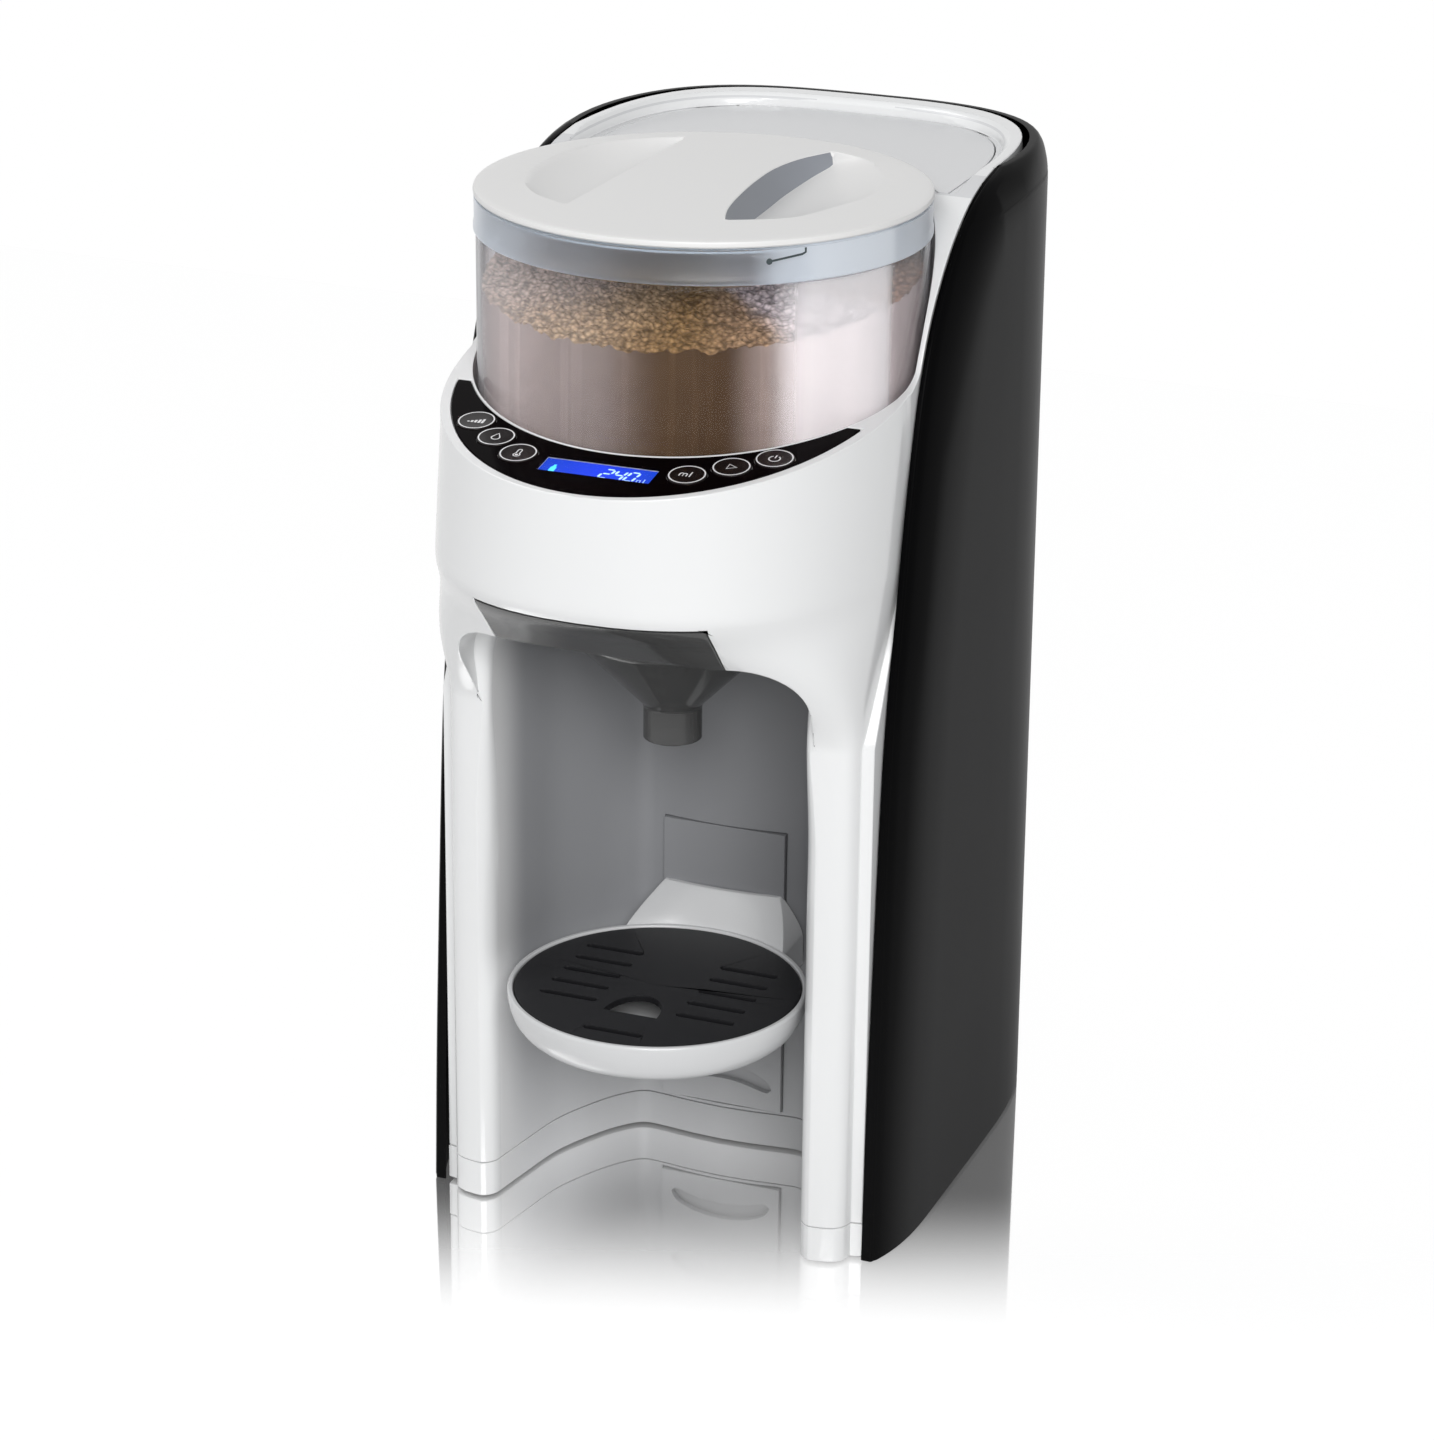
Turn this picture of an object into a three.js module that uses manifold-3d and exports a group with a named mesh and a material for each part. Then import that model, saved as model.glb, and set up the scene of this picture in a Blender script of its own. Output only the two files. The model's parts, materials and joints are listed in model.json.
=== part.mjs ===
// Baby formula maker: a bench-top machine that doses powder, heats water and drops both through a
// funnel into whatever stands on its tray. Millimetres, Z up, the front towards -Y.
// Everything is first placed round the vertical axis of the powder container, with Z from the table,
// and the whole is then moved back or forward so that the middle of its footprint is the origin.
import * as THREE from "three";
import { mergeVertices } from "three/addons/utils/BufferGeometryUtils.js";
import Module from "manifold-3d";

const wasm = await Module();
wasm.setup();

// Whole machine
const deckHeight = 391.5;
const rearReach = 176;
const shellHalfWidth = 96.9;
const shellStandOut = 11.9;
const cheekHalfWidth = shellHalfWidth - shellStandOut;
const containerInset = 3.4;
const containerRadius = cheekHalfWidth - containerInset;
const noseReachShare = 1.44;
const noseReach = noseReachShare * containerRadius;
const headDepth = 147.5;
const bayCeiling = deckHeight - headDepth;
const tableClearance = 1;
const wall = 2.6;
const fit = 0.3;
const overrun = 6;
const weld = 0.0005;

// Black outer shell
const shellWall = 2.5;
const shellTaper = 4;
const shellFootReach = 46;
const shellSweep = 106;
const shellFootEdge = 4.7;
const shellTopEdge = 2.3;
const shellFlare = 50;
const shellWidestBehindAxis = 60;
const shellSquareness = 3.2;
const crownHeight = 16;
const crownRearInset = 3;
const deckInset = 2.4;
const crownInset = shellStandOut - shellTaper + deckInset - fit - shellTopEdge;
// Front edge of the shell: share of its height, then share of its sweep towards the rear
const shellEdgeShares = [
  [0, 0],
  [0.1, 0.009],
  [0.26, 0.047],
  [0.37, 0.076],
  [0.64, 0.151],
  [0.723, 0.198],
  [0.774, 0.274],
  [0.829, 0.349],
  [0.874, 0.42],
  [0.963, 0.641],
  [0.991, 0.811],
  [1, 1],
];

// White front housing
const seamHeight = 15.3;
const columnReach = 54;
const columnInset = 4;
const columnHalfWidth = cheekHalfWidth - columnInset;
const columnSquareness = 11;
const columnTopDrop = 39;
const columnTop = bayCeiling - columnTopDrop;
const columnStepReach = 44.7;
const noseBottomRise = 21;
const noseBottom = bayCeiling + noseBottomRise;
const noseInset = 0.6;
const noseHalfWidth = cheekHalfWidth - noseInset;
const noseLowSquareness = 2.3;
const noseTopSquareness = 2.05;
const noseCentreReach = 15;
const noseTopRise = 72;
const noseTop = bayCeiling + noseTopRise;
const noseSweepPower = 1.4;
const stepDepth = 1;

// Bay that the funnel drops into
const columnWidth = 19.2;
const bayHalfWidth = columnHalfWidth - columnWidth;
const bayMouthReach = 46.3;
const bayRearShare = 0.374;
const bayRearReach = bayRearShare * containerRadius;
const bayCornerRadius = 22;
const jambRadius = 8;
// Side and back of the bay from its mouth: share of its half width, share of its depth
const bayPlanShares = [
  [1, 0],
  [0.95, 0.264],
  [0.887, 0.527],
  [0.744, 0.785],
  [0.63, 0.92],
  [0.534, 0.985],
  [0.41, 0.985],
  [0.2, 0.967],
  [0, 0.961],
];

// Control panel, a sloping crescent in front of the container
const panelPivotReach = 80;
const panelPivotRise = 73.8;
const panelPivotHeight = bayCeiling + panelPivotRise;
const panelRisePerReach = 0.173;
const panelMargin = 4.9;
const panelHalfWidth = noseHalfWidth - panelMargin;
const panelFrontMargin = 2.7;
const panelCentreReach = 20;
const panelDepth = noseReach - panelCentreReach - panelFrontMargin;
const panelFootReach = 16;
const panelEndShare = 0.539;
const panelEndReach = panelEndShare * containerRadius;
const panelTipShare = 4;
const panelThickness = 1.2;
const panelSkin = 2.4;
const panelRimGap = 1.4;
const windowWidthShare = 0.264;
const windowHalfWidth = windowWidthShare * panelHalfWidth;
// Back and front of the window as shares of the crescent's depth in the middle
const windowBandShares = [0.204, 0.566];
const lensThickness = 1;
const buttonSizeShare = 0.088;
const buttonRadius = buttonSizeShare * panelHalfWidth;
const buttonGap = 0.25;
const buttonTravel = 0.6;
const buttonStemRadius = 2.6;
const buttonStemLength = 5.5;
const buttonSink = 0.55;
const buttonProud = 0.4;
const buttonEdge = 0.4;
const switchHeight = 0.8;
const pegRadius = 1.5;
const pegSpan = 25;
const pegBandShare = 0.414;
// Middles of the three right-hand keys: share of the half width, share of the crescent's depth there;
// the left-hand ones mirror them
const keyShares = [
  [0.397, 0.499],
  [0.556, 0.416],
  [0.708, 0.432],
];
const boardThickness = 1.6;
const boardInset = 3.4;
const boardMargin = 3;
const switchHalfWidth = 2.6;
const displayThickness = 4.2;
const noseFloorRise = 26;
const noseFloor = bayCeiling + noseFloorRise;

// Well, powder container and what turns inside it
const containerWall = 2.2;
const wellClearance = 1.4;
const wellFloorRise = 24;
const wellFloor = bayCeiling + wellFloorRise;
const slabThickness = 4;
const lidStandOut = 2.5;
const lidHeight = deckHeight + lidStandOut;
const lidDisc = 3;
const lidOverhang = 0.9;
const lidRadius = containerRadius + lidOverhang;
const lidSkirtDrop = 16;
const lidSkirtWall = 2;
const sealHeight = 1.8;
const wellDepth = 9;
const gripLeftShare = 0.388;
const gripRightShare = 0.291;
const fingerWellShare = 0.7273;
const fingerWellOffsetShare = 0.1212;
const fingerWellOffset = fingerWellOffsetShare * lidRadius;
const leftWellShiftShare = 0.1333;
const leftWellShift = leftWellShiftShare * lidRadius;
const rightWellShiftShare = 0.0242;
const rightWellShift = rightWellShiftShare * lidRadius;
const innerBulgeShare = 0.1091;
const fingerWellInnerBulge = innerBulgeShare * lidRadius;
const lidRounding = 1.2;
const baseFloor = 3;
const baseRimWall = 2.6;
const baseInset = 0.8;
const baseRimHeight = 14;
const wheelThickness = 8;
const wheelLift = 0.5;
const gearModuleShare = 0.03064;
const gearModule = gearModuleShare * containerRadius;
const wheelTeeth = 40;
const pinionTeeth = 10;
const pinionReach = ((wheelTeeth + pinionTeeth) * gearModule) / 2;
const toothTip = 0.9;
const toothRoot = 1.25;
const toothFootShare = 0.3;
const toothTipShare = 0.13;
const pinionWindowGap = 1.2;
const pocketCount = 6;
const pocketRadius = 8;
const outletReach = 26;
const outletRadius = 9;
const hubPinRadius = 5;
const hubBossRadius = 9;
const hubBossHeight = 9.6;
const containerFloorThickness = 2.4;
const inletMiddleDegrees = 90;
const inletSpanDegrees = 150;
const inletInnerRadius = 16;
const inletOuterRadius = 38;
const stirrerArmCount = 4;
const stirrerThickness = 4;
const stirrerLift = 0.5;
const stirrerArmWidth = 7;
const stirrerHubRadius = 14;
const stirrerInset = 7.6;
const stirrerReach = containerRadius - stirrerInset;
const powderClearance = 0.5;
const powderHeadroom = 28.7;
const powderMiddleHeight = lidHeight - powderHeadroom;
const powderSlope = 0.13;

// Funnel drawer
const funnelAxisReach = 26;
const spoutRadius = 10.9;
const spoutDrop = 52.5;
const spoutBottom = bayCeiling - spoutDrop;
const coneDrop = 39;
const coneBottom = bayCeiling - coneDrop;
const bowlRadius = 40;
const bowlDrop = 1;
const bowlFoot = bayCeiling - bowlDrop;
const funnelWall = 2;
const bowlTopRise = 12.4;
const bowlTop = bayCeiling + bowlTopRise;
const flangeThickness = 2.4;
const flangeBottom = bowlTop - flangeThickness;
const ledge = 3;
const lipHalfWidth = 43.5;
const lipGap = 0.4;
const lipThickness = 2.4;
const channelRear = 22;
const channelTopRise = 20;
const channelTop = bayCeiling + channelTopRise;
const coverThickness = 1.8;
const coverSkirt = 3;
const coverHalfWidth = 41;
const coverFrontReach = 74;
const coverHoleRadius = 13;
const nozzleRadius = 2.2;
const nozzleBore = 1.2;
const nozzleTipReach = 4;
const nozzleRiserGap = 7.8;
const nozzleRiserReach = bayRearReach + nozzleRiserGap;
const riserDrop = 38;
const nozzleRiserBottom = bayCeiling - riserDrop;

// Drip tray and its rail
const trayGap = 5.3;
const trayRadius = bayHalfWidth - trayGap;
const trayRear = 17.4;
const trayAxisReach = trayRadius - trayRear;
const trayHeight = 96.6;
const trayDepth = 16.6;
const trayFootInset = 6.5;
const trayFootRadius = trayRadius - trayFootInset;
const trayWall = 2.4;
const gridInset = 2.6;
const gridRadius = trayRadius - gridInset;
const gridThickness = 2.6;
const gridRecess = 0.6;
const gridLedge = 2.2;
const slotLengthShare = 0.427;
const slotLength = slotLengthShare * gridRadius;
const slotWidth = 2.9;
const slotPitchShare = 0.208;
const slotPitch = slotPitchShare * gridRadius;
const slotRows = 5;
const slotMiddleShift = 1.6;
const slotMiddleReach = trayAxisReach - slotMiddleShift;
const slotColumnShare = 0.508;
const slotColumnOffset = slotColumnShare * gridRadius;
const frontSlotShare = 0.805;
const frontSlotReach = trayAxisReach + frontSlotShare * gridRadius;
const fingerHoleSizeShare = 0.195;
const fingerHoleRadius = fingerHoleSizeShare * gridRadius;
const fingerHoleFrontShare = 0.5;
const fingerHoleFront = trayAxisReach + fingerHoleFrontShare * gridRadius;
const fingerHoleDepthShare = 0.306;
const fingerHoleDepth = fingerHoleDepthShare * gridRadius;
const collarHalfWidth = 33;
const collarHeight = 13;
const collarGap = 0.8;
const collarTopHalfWidth = 24;
const railHalfWidth = 25;
const railThickness = 3;
const railBulge = 1.9;
const railHeight = 118;
const railBottom = 17;
const railTop = railBottom + railHeight;
const tongueHalfWidth = 18;
const tongueThickness = 5;
const tongueLength = 7.6;
const tonguePocket = 8;
const railSlotPitch = 29.5;
const railSlotRows = 3;
const railSlotHeight = 6.4;
const railSlotHalfWidth = 21;
const railSlotDroop = 5;

// Base, feet and fasteners
const baseFloorThickness = 2.5;
const footRadius = 7;
const footSink = 0.7;
const frontFootInset = 9.5;
const frontFootSpan = columnHalfWidth - frontFootInset;
const frontFootReach = 42;
const rearFootInset = 27;
const rearFootSpan = cheekHalfWidth - rearFootInset;
const rearFootReach = 140;
const bossRadius = 5;
const bossHeight = 30;
const bossBore = 1.9;
const frontBossReach = 20;
const rearBossInset = 13.6;
const rearBossSpan = cheekHalfWidth - rearBossInset;
const rearBossReach = 128;
const screwRadius = 1.6;
const screwLength = 18;
const screwHeadRadius = 3.4;
const screwHeadHeight = 2;

// Rear inside: tank, its seat, drive, pump, heater and boards
const tankInset = 13;
const tankHalfWidth = cheekHalfWidth - tankInset;
const tankRear = 156.5;
const tankFrontGap = 9;
const tankFrontRadius = containerRadius + tankFrontGap;
const tankFrontCut = 54;
const tankWall = 2.2;
const tankFloorDrop = 118;
const tankFloor = wellFloor - tankFloorDrop;
const deckRecess = 5;
const recessInset = 9.5;
const recessHalfWidth = cheekHalfWidth - recessInset;
const recessRear = 160;
const recessSlope = 3.6;
const tankLidThickness = 2.6;
const tankLidOverlap = 3.1;
const tankLidSkirt = 5;
const tankLidGap = 0.4;
const shelfThickness = 4;
const shelfFront = 58;
const shelfInset = 4;
const shelfHalfWidth = tankHalfWidth - shelfInset;
const shelfRear = 152;
const legSize = 8;
const frontLegSpan = shelfHalfWidth - legSize / 2;
const rearLegInset = 20;
const rearLegSpan = shelfHalfWidth - rearLegInset;
const rearLegReach = 128;
const outletBossRadius = 7;
const outletBossDrop = 7.5;
const outletBore = 4.5;
const tankOutletReach = 125;
const socketFlangeRadius = 16;
const socketNeckRadius = 11;
const socketNeckLength = 12;
const socketSeat = 9;
const socketDrainOffset = 5;
const socketDrainRadius = 1.8;
const valveLift = 2.6;
const valveStemRadius = 3;
const valveHeadRadius = 7.5;
const valveHeadThickness = 2;
const spigotRadius = 3;
const spigotLength = 7;
const hoseRadius = 4.8;
const hoseWall = 0.7;
const gearboxHalfWidth = 24;
const gearboxHalfLength = 14;
const gearboxFrontReach = pinionReach - gearboxHalfLength;
const gearboxRearReach = pinionReach + gearboxHalfLength;
const gearboxHeight = 16;
const motorSizeShare = 0.197;
const motorRadius = motorSizeShare * containerRadius;
const motorLength = 52;
const shaftRadius = 4;
const sealRadius = 6.7;
const pumpRadius = 16;
const pumpReach = 76;
const pumpSideGap = 18;
const pumpLeft = pumpSideGap - shelfHalfWidth;
const pumpRight = -2;
const pumpHeight = 21;
const heaterLeft = 14;
const heaterSideGap = 10;
const heaterRight = shelfHalfWidth - heaterSideGap;
const heaterFront = 48;
const heaterRear = 74;
const heaterHeight = 66;
const heaterOutletInset = 4.5;
const heaterOutletReach = heaterFront + heaterOutletInset;
const mainBoardInset = 11;
const mainBoardSide = cheekHalfWidth - mainBoardInset;
const mainBoardFront = 72;
const mainBoardRear = 114;
const mainBoardTop = 104;
const glandRadius = 5.5;
const glandFlange = 8.5;
const glandFlangeThickness = 1.5;
const glandHeight = 30;
const glandBore = 3.6;

const material = (color, roughness, metalness = 0) =>
  new THREE.MeshStandardMaterial({ color, roughness, metalness });
const glossWhite = material(0xf2f2f0, 0.18);
const satinWhite = material(0xe4e4e2, 0.35);
const glossBlack = material(0x0b0b0c, 0.12);
const panelBlack = material(0x120c0c, 0.08);
const gridBlack = material(0x26272a, 0.5);
const smoke = material(0x4c4c4e, 0.15);
const clear = material(0xdfe4e6, 0.05);
const powderTan = material(0xc9b28e, 0.95);
const rubber = material(0x1d1d1f, 0.8);
const steel = material(0xb8babd, 0.3, 1);
const boardGreen = material(0x1f5a38, 0.5);
const displayBlue = material(0x2846e0, 0.2);
const machinedGrey = material(0x8b8d90, 0.4, 0.8);
const hoseWhite = material(0xe8e6dc, 0.5);
const acetal = material(0xf0eee6, 0.45);

const machine = new THREE.Group();
const assembly = new THREE.Group();
machine.add(assembly);
const glandStandOut = glandFlangeThickness + fit;
assembly.position.y = -(rearReach + glandStandOut - noseReach) / 2;

// Solids and meshes

function solid(geometry) {
  const plain = geometry.index ? geometry.toNonIndexed() : geometry.clone();
  plain.deleteAttribute("normal");
  plain.deleteAttribute("uv");
  const merged = mergeVertices(plain, weld);
  const corners = merged.index.array;
  const kept = [];
  for (let i = 0; i < corners.length; i += 3) {
    const [a, b, c] = [corners[i], corners[i + 1], corners[i + 2]];
    if (a !== b && b !== c && c !== a) kept.push(a, b, c);
  }
  return new wasm.Manifold(
    new wasm.Mesh({
      numProp: 3,
      vertProperties: merged.attributes.position.array,
      triVerts: new Uint32Array(kept),
    }),
  );
}

function geometryOf(body) {
  const mesh = body.getMesh();
  const geometry = new THREE.BufferGeometry();
  geometry.setAttribute("position", new THREE.BufferAttribute(mesh.vertProperties, 3));
  geometry.setIndex(new THREE.BufferAttribute(mesh.triVerts, 1));
  return geometry;
}

function add(name, body, finish) {
  const geometry = geometryOf(body);
  geometry.computeVertexNormals();
  const mesh = new THREE.Mesh(geometry, finish);
  mesh.name = name;
  assembly.add(mesh);
}

const joined = (first, ...rest) => rest.reduce((all, body) => all.add(body), first);
const cut = (first, ...rest) => rest.reduce((all, body) => all.subtract(body), first);

function block(x0, x1, y0, y1, z0, z1) {
  const geometry = new THREE.BoxGeometry(x1 - x0, y1 - y0, z1 - z0);
  return geometry.translate((x0 + x1) / 2, (y0 + y1) / 2, (z0 + z1) / 2);
}

function rod(radius, x, y, z0, z1, sides = 24) {
  const geometry = new THREE.CylinderGeometry(radius, radius, z1 - z0, sides);
  return geometry.rotateX(Math.PI / 2).translate(x, y, (z0 + z1) / 2);
}

// A rod along Y or X
function rodAlongY(radius, x, z, y0, y1, sides = 16) {
  const geometry = new THREE.CylinderGeometry(radius, radius, y1 - y0, sides);
  return geometry.translate(x, (y0 + y1) / 2, z);
}

function rodAlongX(radius, y, z, x0, x1, sides = 20) {
  const geometry = new THREE.CylinderGeometry(radius, radius, x1 - x0, sides);
  return geometry.rotateZ(Math.PI / 2).translate((x0 + x1) / 2, y, z);
}

function revolve(profile, x = 0, y = 0, sides = 48) {
  const points = profile.map(([r, z]) => new THREE.Vector2(r, z));
  return new THREE.LatheGeometry(points, sides).rotateX(Math.PI / 2).translate(x, y, 0);
}

function plate(outline, z0, z1, holes = []) {
  const shape = new THREE.Shape(outline.map(([x, y]) => new THREE.Vector2(x, y)));
  for (const hole of holes) {
    shape.holes.push(new THREE.Path(hole.map(([x, y]) => new THREE.Vector2(x, y))));
  }
  const settings = { depth: z1 - z0, bevelEnabled: false };
  return new THREE.ExtrudeGeometry(shape, settings).translate(0, 0, z0);
}

// Skins a stack of rings, each a closed outline at its own height, counter-clockwise from above
function loft(drawn) {
  const snap = (value) => Math.round(value / weld) * weld;
  const rings = drawn.map(({ outline, z }) => ({
    outline: outline.map(([x, y]) => [snap(x), snap(y)]),
    z,
  }));
  const count = rings[0].outline.length;
  const places = [];
  for (const { outline, z } of rings) {
    for (const [x, y] of outline) places.push(x, y, z);
  }
  const faces = [];
  for (let level = 0; level + 1 < rings.length; level += 1) {
    for (let i = 0; i < count; i += 1) {
      const a = level * count + i;
      const b = level * count + ((i + 1) % count);
      faces.push(a, b, b + count, a, b + count, a + count);
    }
  }
  const last = (rings.length - 1) * count;
  const caps = (ring) =>
    THREE.ShapeUtils.triangulateShape(
      ring.outline.map(([x, y]) => new THREE.Vector2(x, y)),
      [],
    );
  for (const [a, b, c] of caps(rings[0])) faces.push(a, c, b);
  for (const [a, b, c] of caps(rings[rings.length - 1])) faces.push(last + a, last + b, last + c);
  const geometry = new THREE.BufferGeometry();
  geometry.setAttribute("position", new THREE.Float32BufferAttribute(places, 3));
  geometry.setIndex(faces);
  return geometry;
}

// Outlines

const mix = (a, b, share) => a + (b - a) * share;
const clampShare = (value) => Math.min(1, Math.max(0, value));

// A right half from front to rear, closed by its mirror image
function mirrored(half) {
  const left = half.filter(([x]) => x > weld).map(([x, y]) => [-x, y]);
  return [...half, ...left.reverse()];
}

// Quarter turn as sine and cosine pairs, exact at both ends
function quarterTurn(steps) {
  return Array.from({ length: steps + 1 }, (_, i) => {
    if (i === steps) return [1, 0];
    const turn = (i / steps) * (Math.PI / 2);
    return [Math.sin(turn), Math.cos(turn)];
  });
}

function circle(radius, x, y, steps = 24) {
  return Array.from({ length: steps }, (_, i) => {
    const turn = (i / steps) * 2 * Math.PI;
    return [x + radius * Math.cos(turn), y + radius * Math.sin(turn)];
  });
}

// Rear of the body: from its widest place round to the middle of the back
function rearArc(halfWidth, reach, steps) {
  const depth = reach - shellWidestBehindAxis;
  return quarterTurn(steps).map(([s, c]) => [
    halfWidth * c ** (2 / shellSquareness),
    shellWidestBehindAxis + depth * s ** (2 / shellSquareness),
  ]);
}

// How far the top edge has curved in at a height, from 0 below the crown to 1 at the deck
function crownShare(z) {
  const u = clampShare((z - (deckHeight - crownHeight)) / crownHeight);
  return 1 - Math.sqrt(1 - u * u);
}

const cheekAt = (z) => cheekHalfWidth - deckInset * crownShare(z);
const housingRear = rearReach - crownRearInset - shellWall - fit;

// Front of the housing at a height: columns below, blending into the rounded nose above
function frontShape(z) {
  const t = clampShare((z - columnTop) / (noseBottom - columnTop));
  const upper = clampShare((z - noseBottom) / (noseTop - noseBottom));
  const noseSquareness = mix(noseLowSquareness, noseTopSquareness, upper);
  return {
    halfWidth: mix(columnHalfWidth, noseHalfWidth, t),
    reach: mix(columnReach, noseReach, t ** noseSweepPower),
    squareness: mix(columnSquareness, noseSquareness, 1 - (1 - t) ** 2),
    stepReach: mix(columnStepReach, noseCentreReach, t),
  };
}

const frontSteps = 9;
const rearSteps = 6;

function housingOutline(z) {
  const front = frontShape(z);
  const depth = front.reach - noseCentreReach;
  const power = 2 / front.squareness;
  const stepShare = (front.stepReach - noseCentreReach) / depth;
  const endTurn = Math.acos(stepShare ** (front.squareness / 2));
  const half = [];
  for (let i = 0; i <= frontSteps; i += 1) {
    const turn = (i / frontSteps) * endTurn;
    const s = Math.sin(turn) ** power;
    const c = Math.max(0, Math.cos(turn)) ** power;
    half.push([front.halfWidth * s, -noseCentreReach - depth * c]);
  }
  const cheek = cheekAt(z);
  half.push([cheek, -front.stepReach + stepDepth]);
  half.push(...rearArc(cheek, housingRear, rearSteps));
  return mirrored(half);
}

const housingHeights = [
  seamHeight,
  ...[0, 0.2, 0.4, 0.6, 0.8, 1].map((share) => mix(columnTop, noseBottom, share)),
  noseTop,
  ...[0, 0.55, 0.88, 1].map((share) => mix(deckHeight - crownHeight, deckHeight, share)),
];
const housingBlank = loft(housingHeights.map((z) => ({ outline: housingOutline(z), z })));

// The plan of the bay, grown outwards where its wall is wanted; its corners round off below the ceiling
function bayOutline(z, grow, mouth, frontLine) {
  const overCorner = clampShare((z - (bayCeiling - bayCornerRadius)) / bayCornerRadius);
  const pulledIn = bayCornerRadius * (1 - Math.sqrt(1 - overCorner * overCorner));
  const depth = bayMouthReach + bayRearReach;
  const half = [
    [bayHalfWidth + grow - pulledIn, -frontLine],
    [bayHalfWidth + grow - pulledIn, -bayMouthReach - mouth],
  ];
  for (const [across, back] of bayPlanShares) {
    const x = Math.max(0, bayHalfWidth * across + (across > 0 ? grow : 0) - pulledIn * across);
    half.push([x, -bayMouthReach + depth * back + (back > 0.1 ? grow : 0)]);
  }
  return mirrored(half);
}

const bayHeights = [0, 0.4, 0.7, 0.9, 0.98].map((share) =>
  mix(bayCeiling - bayCornerRadius, bayCeiling, share),
);

function bayCutter(grow, bottom, frontLine) {
  const heights = [bottom, ...bayHeights];
  const rings = heights.map((z) => ({ outline: bayOutline(z, grow, fit, frontLine), z }));
  rings[rings.length - 1].z += grow;
  return loft(rings);
}

// The inner corner of each column, rounded off from the foot to where the nose begins to swell
function jambCutter(side) {
  const inner = bayHalfWidth - overrun;
  const outer = bayHalfWidth;
  const ring = (radius, z) => {
    const arc = quarterTurn(4).map(([s, c]) => [
      outer + radius * (1 - s),
      -columnReach - overrun + (overrun + radius) - radius * c,
    ]);
    const outline = [
      [inner, -columnReach - overrun],
      [outer + radius, -columnReach - overrun],
      ...arc,
      [inner, -columnReach + radius],
    ];
    const turned = outline.map(([x, y]) => [side * x, y]);
    return { outline: side < 0 ? turned.reverse() : turned, z };
  };
  const fade = mix(columnTop, noseBottom, 0.12);
  return loft([
    ring(jambRadius, -overrun),
    ring(jambRadius, columnTop - bayCornerRadius),
    ring(jambRadius / 8, fade),
  ]);
}

// Front edge of the shell and the curve of the housing's top, as distance behind the axis and height
const shellEdge = new THREE.SplineCurve(
  shellEdgeShares.map(
    ([rise, back]) => new THREE.Vector2(-shellFootReach + shellSweep * back, deckHeight * rise),
  ),
);
const edgePoints = shellEdge.getPoints(shellEdgeShares.length + 1);

const panelHeightAt = (y) => panelPivotHeight + panelRisePerReach * (y + panelPivotReach);
const panelSlope = Math.atan(panelRisePerReach);
const onPanel = (geometry) =>
  geometry.rotateX(panelSlope).translate(0, -panelPivotReach, panelPivotHeight);
const alongPanel = (y) => (y + panelPivotReach) / Math.cos(panelSlope);

// Everything above the housing's top: the panel's slope, the S-curve beside the container, the deck
function topCutter() {
  const far = noseReach + rearReach;
  const rising = edgePoints.filter((p) => p.x > -panelFootReach && p.y > panelHeightAt(p.x) + weld);
  const sky = deckHeight + noseReach;
  const side = [
    [-far, panelHeightAt(-far)],
    [-panelFootReach, panelHeightAt(-panelFootReach)],
    ...rising.map((p) => [p.x, p.y]),
    [far, deckHeight],
    [far, sky],
    [-far, sky],
  ];
  const width = shellHalfWidth + overrun;
  const shape = new THREE.Shape(side.map(([y, z]) => new THREE.Vector2(y, z)));
  const geometry = new THREE.ExtrudeGeometry(shape, { depth: 2 * width, bevelEnabled: false });
  const toSide = new THREE.Matrix4().makeBasis(
    new THREE.Vector3(0, 1, 0),
    new THREE.Vector3(0, 0, 1),
    new THREE.Vector3(1, 0, 0),
  );
  return geometry.applyMatrix4(toSide).translate(-width, 0, 0);
}

// The tank's plan and what follows it: a D with its front hollowed round the container's well
function tankPlan(grow, z0, z1) {
  const outline = mirrored([
    [0, tankFrontCut - grow],
    [tankHalfWidth + grow, tankFrontCut - grow],
    ...rearArc(tankHalfWidth + grow, tankRear + grow, rearSteps),
  ]);
  const hollow = rod(tankFrontRadius - grow, 0, 0, z0 - overrun, z1 + overrun, 40);
  return cut(solid(plate(outline, z0, z1)), solid(hollow));
}

const crescentInnerRadius = containerRadius + wellClearance + panelRimGap;

// Crescent of the control panel, grown or shrunk all round, in the panel's own plane
function crescent(grow, flat = true) {
  const innerRadius = crescentInnerRadius - grow;
  const halfWidth = panelHalfWidth + grow;
  const depth = panelDepth + grow;
  const end = panelEndReach - grow * panelTipShare;
  const outerTurn = Math.acos((end - panelCentreReach) / depth);
  const innerTurn = Math.acos(end / innerRadius);
  const steps = 12;
  const turns = Array.from({ length: steps + 1 }, (_, i) => (2 * i) / steps - 1);
  const outer = turns.map((turn) => [
    halfWidth * Math.sin(turn * outerTurn),
    -panelCentreReach - depth * Math.cos(turn * outerTurn),
  ]);
  const inner = turns.map((turn) => [
    innerRadius * Math.sin(-turn * innerTurn),
    -innerRadius * Math.cos(turn * innerTurn),
  ]);
  const outline = [...outer, ...inner];
  return flat ? outline.map(([x, y]) => [x, alongPanel(y)]) : outline;
}

// Distance in front of the axis at a share of the crescent's depth, some way to one side
function onCrescent(x, share) {
  const back = Math.sqrt(crescentInnerRadius ** 2 - x * x);
  const front = panelCentreReach + panelDepth * Math.sqrt(1 - (x / panelHalfWidth) ** 2);
  return -mix(back, front, share);
}

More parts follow.
